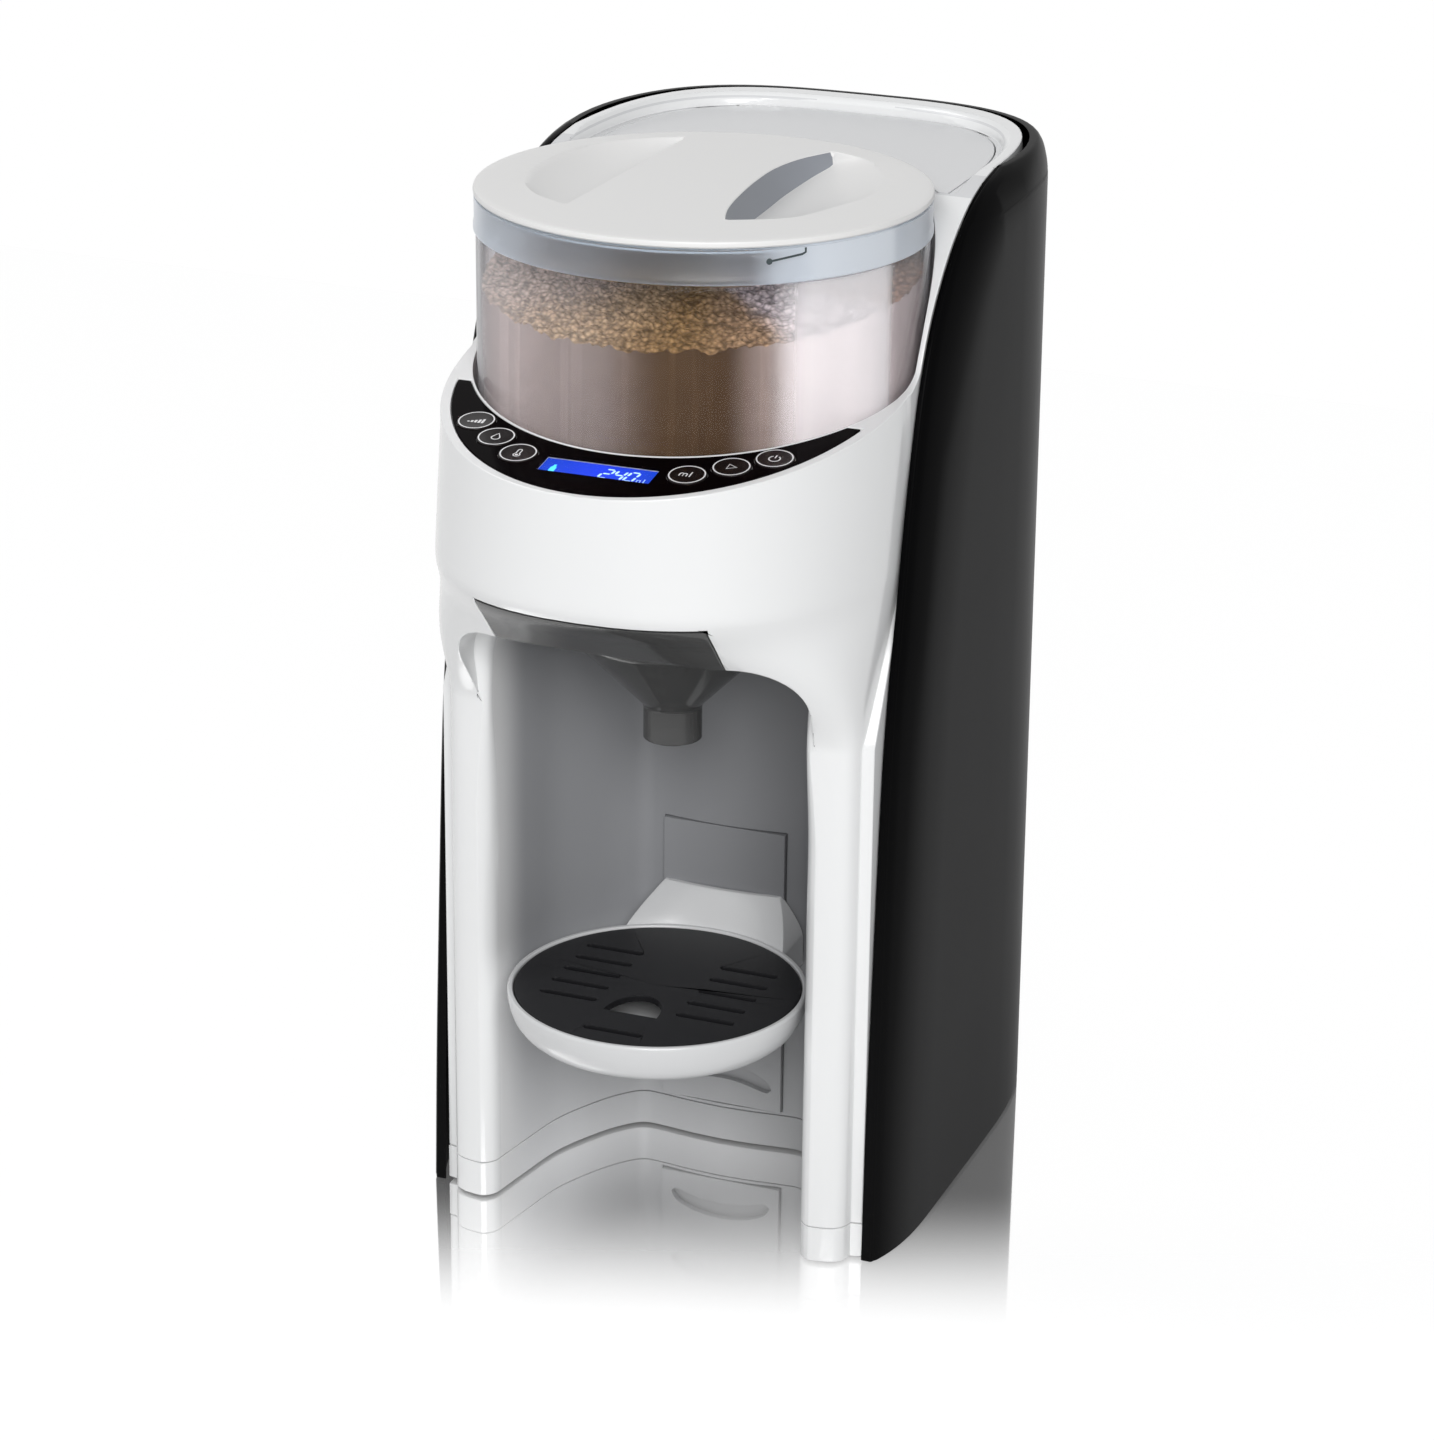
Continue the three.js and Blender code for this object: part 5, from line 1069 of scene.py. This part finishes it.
top_stops += [(72, (0.6, 0.53, 0.53)), (80, (0.26, 0.15, 0.1)), (130, (0.2, 0.12, 0.08))]
coloured_round(top_powder, top_stops)
powder_radius, powder_low = 78.9, 290
middle_height, powder_slope = 365.3, 0.13
drift = bmesh.new()
rings_out, sectors = 130, 420
drift_rings = []
for i in range(1, rings_out + 1):
    r = powder_radius * (i / rings_out) ** 0.8
    ring = []
    for j in range(sectors):
        a = j / sectors * 2 * math.pi
        x, y = r * math.cos(a), r * math.sin(a)
        z = middle_height + powder_slope * y - 1.6
        z += 1.1 * noise.noise((x / 21, y / 21, 3)) + 1.3 * noise.noise((x / 6, y / 6, 9))
        z += 1.6 * noise.noise((x / 3.1, y / 3.1, 5)) + 0.8 * noise.noise((x / 1.4, y / 1.4, 7))
        ring.append(drift.verts.new((x, y, z)))
    drift_rings.append(ring)
centre = drift.verts.new((0, 0, 364))
for j in range(sectors):
    drift.faces.new((centre, drift_rings[0][j], drift_rings[0][(j + 1) % sectors]))
for inner_ring, outer_ring in zip(drift_rings, drift_rings[1:]):
    for j in range(sectors):
        k = (j + 1) % sectors
        drift.faces.new((inner_ring[j], outer_ring[j], outer_ring[k], inner_ring[k]))
edge_loop = [e for e in drift.edges if e.is_boundary]
drift.normal_update()
top_faces = len(drift.faces)
side_drop = bmesh.ops.extrude_edge_only(drift, edges=edge_loop)["geom"]
for v in side_drop:
    if isinstance(v, bmesh.types.BMVert):
        v.co.z = powder_low
low_edges = [g for g in side_drop if isinstance(g, bmesh.types.BMEdge) and g.is_boundary]
bmesh.ops.contextual_create(drift, geom=low_edges)
bmesh.ops.recalc_face_normals(drift, faces=drift.faces)
powder = to_object("settled_powder", drift)
dressed(powder, "container", top_powder, "formula_powder", sharp_from=60, even=False)
powder.data.materials.append(wall_powder)
for i, face in enumerate(powder.data.polygons):
    if i >= top_faces:
        face.material_index = 1

# Lid
# A white disc with two finger wells either side of its grip, over a milky skirt that screws down on
# the tub by a bayonet.
outer_left = [(-32.6, -48.5), (-50, -37), (-61, -20), (-66, 5), (-63, 32), (-51, 52), (-32.6, 65.2)]
inner_left = [(-32.6, y) for y in (-48.5, -30, -10, 9, 28, 46, 65.2)]
outer_right = [(26, -46.6), (46, -34), (54.5, -15), (61, 10), (57, 36), (42, 57), (24.9, 65.4)]
inner_right = [(26, -46.6), (21, -30), (17.6, -10), (15.3, 12), (14.8, 32), (18, 50), (24.9, 65.4)]
lid_top = 394


def finger_well(outer, inner, deep, wall_run):
    """A well whose floor falls from its outer edge to a crease at the foot of the grip's steep wall."""
    rings = []
    runs = list(zip(through(outer, 8), through(inner, 8)))
    for i, (o, n) in enumerate(runs[1:-1]):
        t = (i + 1) / (len(runs) - 1)
        here = deep * math.sin(math.pi * t) ** 0.55
        width = math.dist(o, n)
        crease = min(0.5, wall_run / width)
        section = []
        for j in range(13):
            v = 1 - j / 12
            section.append(((1 - crease) * (1 - v), lid_top + 0.05 - here * (1 - v * v)))
        section += [(1 - crease * 0.5, lid_top - here * 0.62), (1, lid_top + 0.05)]
        section += [(1, lid_top + 6), (0, lid_top + 6)]
        rings.append([(o[0] + (n[0] - o[0]) * s, o[1] + (n[1] - o[1]) * s, z) for s, z in section])
    return loft(rings)


disc_profile = [(0, 391), (80.6, 391), (81.8, 391.1), (82.4, 391.7), (82.5, 392.6), (82.2, 393.4)]
disc_profile += [(81.3, 393.85), (79, 394), (0, 394)]
cups = []
for outer, inner in ((outer_left, inner_left), (outer_right, inner_right)):
    outline = through(outer, 4) + through(inner, 4)[-2:0:-1]
    cx = sum(x for x, y in outline) / len(outline)
    cy = sum(y for x, y in outline) / len(outline)
    grown = [(x + math.copysign(1.6, x - cx), y + math.copysign(1.6, y - cy)) for x, y in outline]
    cups.append(prism(grown, 381.6, 392))
lid = machined(
    "lid_disc",
    turned(disc_profile, sides=192),
    joins=cups,
    cuts=[finger_well(outer_left, inner_left, 9.5, 4), finger_well(outer_right, inner_right, 10.5, 4.5)],
)
softened(lid, 0.4, where=lambda x, y, z: z > 393.7 and math.hypot(x, y) < 78)
lid_white = plastic("lid_white_plastic", (0.8, 0.795, 0.785), 0.34)
dressed(lid, "lid", lid_white, "container_lid")
# Painted shade: the steep walls of the finger wells take a grey-blue copy of the lid's plastic.
grip_painted_shade = plastic("grip_painted_shade_plastic", (0.27, 0.285, 0.315), 0.5, waviness=1.2, specular=0.3)
lid.data.materials.append(grip_painted_shade)
for face in lid.data.polygons:
    x, y, z = face.center / mm
    shaded_grip_wall = -37 < x < 27 and math.hypot(x, y - axis_behind_origin) < 70 and 383 < z < lid_top - 0.5
    if shaded_grip_wall and abs(face.normal.x) > 0.5 and x * face.normal.x > 0:
        face.material_index = 1
milky = clear_plastic(
    "milky_skirt_plastic", (0.67, 0.71, 0.76), (0.8, 0.83, 0.88), 0.3, clear=0.93, from_side=0.95
)
# Painted light: the skirt is milky and pale to the left and right, and clear, so darker, in the middle front.
cloud = [(-70, 0.1), (-60, 0.4), (-40, 0.75), (-15, 0.92), (10, 0.97), (32, 0.92), (43, 0.45), (52, 0.1)]
set_clarity_round(milky, cloud + [(74, 0.05), (78, 0.5), (111, 0.7)])
skirt_profile = [(80.5, 378.3), (82.1, 378.1), (82.5, 378.5), (82.5, 380.2), (82.2, 380.8), (82.2, 390.2)]
skirt_profile += [(81.9, 390.4), (81.2, 390.4), (81.2, 390.95), (80.5, 390.95)]
skirt = to_object("lid_skirt", turned(skirt_profile, sides=192))
dressed(skirt, "lid", milky, even=False)
mark_bm = bmesh.new()
stroke(mark_bm, [(67.3, 390.1), (67.3, 388.5), (66, 387.9), (62.8, 387.5), (54.6, 386.3)], 0.75, 0)
flat_shape(mark_bm, round_run(1.1, 54, 386.2, 0, 345, 23), 0)
for v in mark_bm.verts:
    turn_on_rim = v.co.x / 82.4
    v.co = (82.32 * math.sin(turn_on_rim), -82.32 * math.cos(turn_on_rim), v.co.y)
print_thick(mark_bm, 0.1)
bayonet_mark = to_object("bayonet_mark", mark_bm)
mark_grey = plastic("bayonet_mark_grey", (0.035, 0.05, 0.055), 0.4)
dressed(bayonet_mark, "lid", mark_grey, even=False)

# Seal ring
# A soft white ring of silicone between the lid's underside and the tub's neck. It lifts off
# together with the lid.
seal_profile = [(78.2, 388.9), (79.9, 388.9), (80.2, 389.3), (80.2, 390.3), (79.8, 390.7), (78.2, 390.7)]
seal_ring = to_object("seal_ring_body", turned(seal_profile, sides=160))
soft_white = plastic("seal_silicone", (0.66, 0.69, 0.7), 0.55, waviness=1)
dressed(seal_ring, "seal_ring", soft_white, "lid_seal", even=False)

# Mixing funnel
# A funnel of smoke-grey clear plastic on a flat drawer that slides in above the bay. Its front lip
# carries on the nose's curve.
smoke = clear_plastic(
    "smoke_plastic", (0.15, 0.15, 0.149), (0.02, 0.02, 0.02), 0.12, 0.6, 0.3, shadow=0.6, ior=1.3
)
lip_skin = carved(
    brick(-43.5, 43.5, lip_ahead, 0, bay_ceiling, nose_bottom - 1),
    cuts=[nose_form(2.4, 238, 270)],
    keeps=[nose_form(0, 236, 272)],
)
sheet = carved(brick(-43.2, 43.2, lip_ahead, 21.7, 254, 256.4), keeps=[nose_form(0, 236, 272)])
cone_profile = [(8.9, 191.7), (9.2, 191.5), (10.6, 191.5), (10.9, 191.8), (10.9, 203.5), (11.3, 205.2)]
cone_profile += [(38.6, 232.5), (40.2, 236), (40.2, 255), (38, 255), (38, 236.5), (36.6, 233)]
cone_profile += [(9.2, 205.9), (8.9, 205)]
inner_tube = [(8.9, 204), (10.9, 204), (10.9, 224), (8.9, 224)]
funnel = machined(
    "funnel_body",
    sheet,
    joins=[turned(cone_profile, 0, -26, 96), turned(inner_tube, 0, -26, 96), lip_skin],
    cuts=[rod(38, 0, -26, 250, 260, 96)],
)
softened(funnel, 0.35)
dressed(funnel, "funnel", smoke, "mixing_funnel")

# Funnel cover
# The flat cover that lies on the funnel's drawer, of the same smoke-grey plastic. Powder falls
# through its round hole.
cover = machined(
    "funnel_cover_plate", brick(-41, 41, -74, 21.4, 256.7, 258.5), cuts=[rod(13, 0, -26, 250, 264)]
)
softened(cover, 0.4)
dressed(cover, "funnel", smoke, "funnel_cover")

# Drip tray
# A shallow white bowl with a rolled rim; behind it a collar rises to the bay's back wall, with the
# tongue that hooks into the rail panel.
tray_y = -39.1
bowl_profile = [(0, 80), (44, 80), (47.5, 80.25), (50, 81.2), (52.4, 83.3), (54.2, 86), (55.5, 89.5)]
bowl_profile += [(56.2, 93), (56.4, 95.4), (56.2, 96.2), (55.7, 96.6), (54.7, 96.6), (54.2, 96.2)]
bowl_profile += [(54.2, 93.1), (52, 93.1), (51.2, 88), (47.6, 82.4), (0, 82.4)]


def behind_tray(x):
    run = through(bay_wall, 4)
    for (x0, y0), (x1, y1) in zip(run, run[1:]):
        if x1 <= x <= x0:
            return y1 + (y0 - y1) * (x - x1) / max(x0 - x1, 1e-6)
    return bay_mouth


def collar_ring(z, rise):
    half = 33 + (24 - 33) * rise
    front, rear = [], []
    for i in range(25):
        x = half * (2 * i / 24 - 1)
        on_rim = tray_y + math.sqrt(56.5**2 - x * x) - 1.2
        behind = behind_tray(abs(x)) - 0.8
        front.append((x, on_rim + (behind - 2.4 - on_rim) * rise))
        rear.append((x, behind))
    return ring_at(front + rear[::-1], z)


collar_levels = [(82.4, 0), (94.2, 0)]
collar_levels += [(94.2 + 15.4 * i / 10, (i / 10) ** 1.3) for i in range(1, 11)]
collar = carved(
    loft([collar_ring(z, rise) for z, rise in collar_levels]),
    cuts=[rod(47.6, 0, tray_y, 82.4, 140, 96), rod(54.2, 0, tray_y, 93.1, 140, 96)],
)
tongue = brick(-18, 18, 24, 35.1, 88, 92.6)
tray = machined("tray_bowl", turned(bowl_profile, 0, tray_y, 144), joins=[collar, tongue])
softened(tray, 0.4, sharper_than=45)
tray_white = plastic("tray_white_plastic", (0.66, 0.665, 0.67), 0.24, coat=0.1)
dressed(tray, "tray", tray_white, "drip_tray")

# Grid
# A disc of satin black plastic that lies loose in the tray's rim. It has two columns of slots, one
# slot in front and a half-moon for a finger.
def capsule_plan(x, y, length, width):
    r = width / 2
    half = length / 2 - r
    turns = [i / 8 * math.pi for i in range(9)]
    plan = [(x + half + r * math.sin(a), y - r * math.cos(a)) for a in turns]
    return plan + [(2 * x - px, 2 * y - py) for px, py in plan]


slot_length, slot_width, row_gap = 23, 2.9, 11.2
slots = [capsule_plan(0, -82.5, slot_length, slot_width)]
for row in range(5):
    for side in (-1, 1):
        slots.append(capsule_plan(side * 27.4, -37.5 + (row - 2) * row_gap, slot_length, slot_width))
moon_half, moon_front, moon_depth = 10.5, -66, 16.5
turns = [i / 24 * math.pi for i in range(25)]
half_moon = [(moon_half * math.cos(a), moon_front + moon_depth * math.sin(a)) for a in turns]
grid_profile = [(0, 93.4), (53.5, 93.4), (53.9, 93.8), (53.9, 95.5), (53.6, 95.9), (53.1, 96), (0, 96)]
grid = machined(
    "grid_plate",
    turned(grid_profile, 0, tray_y, 144),
    cuts=[prism(plan, 90, 100) for plan in slots + [half_moon]],
)
softened(grid, 0.35, sharper_than=50)
grid_satin = plastic(
    "grid_satin_black", (0.014, 0.014, 0.0155), 0.4, haze=0.08, waviness=1.2, specular=0.25
)
dressed(grid, "grid", grid_satin, "drip_grid")

# Deck lid
# The flat white lid of the water tank, which lies in the deck's dish. A short skirt reaches into the
# tank, and its front edge follows the container.
inner_skirt = carved(
    prism(tank_plan(-2.6), 378.9, 385.2),
    cuts=[prism(tank_plan(-4.8), 300, 420), rod(93.2, 0, 0, 300, 420, 128)],
)
lid_plate = carved(prism(tank_plan(3.1), 383.9, 386.5), cuts=[rod(87.5, 0, 0, 300, 420, 192)])
deck_lid = machined("deck_lid", lid_plate, joins=[inner_skirt])
softened(deck_lid, 0.35, sharper_than=50)
# Its greyer white is the deck's painted shade.
dressed(deck_lid, "tank_cover", deck_painted_shade_white, "tank_lid")

# Pieces inside and underneath
# The solids as they are, each with the moulded, rubber or metal finish of its material: dosing wheel
# and its drive, tank, pump, heater, hoses, boards, feet and screws.
black_rubber = plastic("black_rubber", (0.012, 0.012, 0.013), 0.7, waviness=1.5)
steel_finish = plastic("brushed_steel", (0.5, 0.51, 0.52), 0.32, metallic=1.0)
board_green = plastic("board_green", (0.015, 0.1, 0.04), 0.45)
acetal_white = plastic("natural_acetal", (0.75, 0.74, 0.68), 0.45)
hose_milky = plastic("milky_hose", (0.7, 0.69, 0.62), 0.5)
carried = {
    "satin_white": satin_white,
    "gloss_white": gloss_white,
    "gloss_black": gloss_black,
    "panel_black": panel_gloss,
    "grid_black": grid_satin,
    "smoke_plastic": smoke,
    "smoke_clear": clear_wall,
    "display_blue": board_green,
    "board_green": board_green,
    "clear_plastic": clear_wall,
    "lid_plastic": lid_white,
    "acetal": acetal_white,
    "powder": top_powder,
    "black_rubber": black_rubber,
    "hose_silicone": hose_milky,
    "steel": steel_finish,
    "cast_metal": steel_finish,
}
slot_of = {s["node"]: s["material_slot"] for s in frame["record"]["subparts"]}
for name, node in nodes.items():
    node.data.materials.clear()
    node.data.materials.append(carried[slot_of[name]])

# Floor and light
# A polished white table that mirrors the machine's foot and fades to plain white in front, and a
# white surround. A broad lamp stands high in front, and a weaker one high on the left.
floor_bm = bmesh.new()
bmesh.ops.create_grid(floor_bm, x_segments=1, y_segments=1, size=1.1)
floor = to_object("floor", floor_bm, Matrix.Identity(4))
floor_paint, tree, bounce = fresh_material("polished_table")
set_inputs(bounce, {"Base Color": (0.86, 0.86, 0.86, 1), "Roughness": 0.9, "Specular IOR Level": 0})


def shows_itself(tree):
    """1 for rays that show a surface as it is: straight from the lens, mirrored or through glass."""
    rays = added(tree, "LightPath")
    either = added(tree, "Math", operation="ADD")
    any_of = added(tree, "Math", operation="ADD", use_clamp=True)
    wire(
        tree,
        (rays, "Is Camera Ray", either, 0),
        (rays, "Is Glossy Ray", either, 1),
        (either, 0, any_of, 0),
        (rays, "Is Transmission Ray", any_of, 1),
    )
    return any_of


shade = added(tree, "BsdfDiffuse", {"Color": (0.32, 0.32, 0.32, 1)})
glow = added(tree, "Emission", {"Strength": 0.8})
lit_table = added(tree, "AddShader")
mirror = added(tree, "BsdfGlossy", {"Color": (1, 1, 1, 1), "Roughness": 0.03})
polish = added(tree, "MixShader")
chosen = added(tree, "MixShader")
place = added(tree, "TexCoord")
ahead = added(tree, "VectorMath", {1: (-math.sin(yaw), math.cos(yaw), 0)}, operation="DOT_PRODUCT")
fading = {"From Min": -0.155, "From Max": -0.04, "To Min": 0, "To Max": 0.9}
fade = added(tree, "MapRange", fading, interpolation_type="SMOOTHSTEP")
wire(
    tree,
    (place, "Object", ahead, 0),
    (ahead, "Value", fade, "Value"),
    (shade, 0, lit_table, 0),
    (glow, 0, lit_table, 1),
    (fade, "Result", polish, 0),
    (lit_table, 0, polish, 1),
    (mirror, 0, polish, 2),
    (shows_itself(tree), 0, chosen, 0),
    (bounce, 0, chosen, 1),
    (polish, 0, chosen, 2),
    (chosen, 0, tree.nodes["Material Output"], "Surface"),
)
floor.data.materials.append(floor_paint)

world = bpy.data.worlds.new("studio")
bpy.context.scene.world = world
world.use_nodes = True
sky = world.node_tree
room = sky.nodes["Background"]
set_inputs(room, {"Color": (0.97, 0.98, 1, 1), "Strength": 0.3})
white = added(sky, "Background", {"Color": (1, 1, 1, 1)})
shown_world = added(sky, "MixShader")
wire(
    sky,
    (shows_itself(sky), 0, shown_world, 0),
    (room, 0, shown_world, 1),
    (white, 0, shown_world, 2),
    (shown_world, 0, sky.nodes["World Output"], "Surface"),
)


def lamp(name, place, target, size, power):
    light = bpy.data.lights.new(name, "AREA")
    light.shape = "RECTANGLE"
    light.size, light.size_y = size
    light.energy = power
    shining = bpy.data.objects.new(name, light)
    aimed = (Vector(target) - Vector(place)).to_track_quat("-Z", "Y")
    shining.matrix_world = Matrix.Translation(place) @ aimed.to_matrix().to_4x4()
    bpy.context.scene.collection.objects.link(shining)


lamp("front_box", (0.75, -1.9, 1.3), (0, -0.05, 0.2), (1.3, 0.9), 35)
lamp("left_box", (-0.95, -0.1, 1.55), (0, 0, 0.35), (0.8, 0.8), 6)

bpy.context.scene.view_settings.view_transform = "Standard"
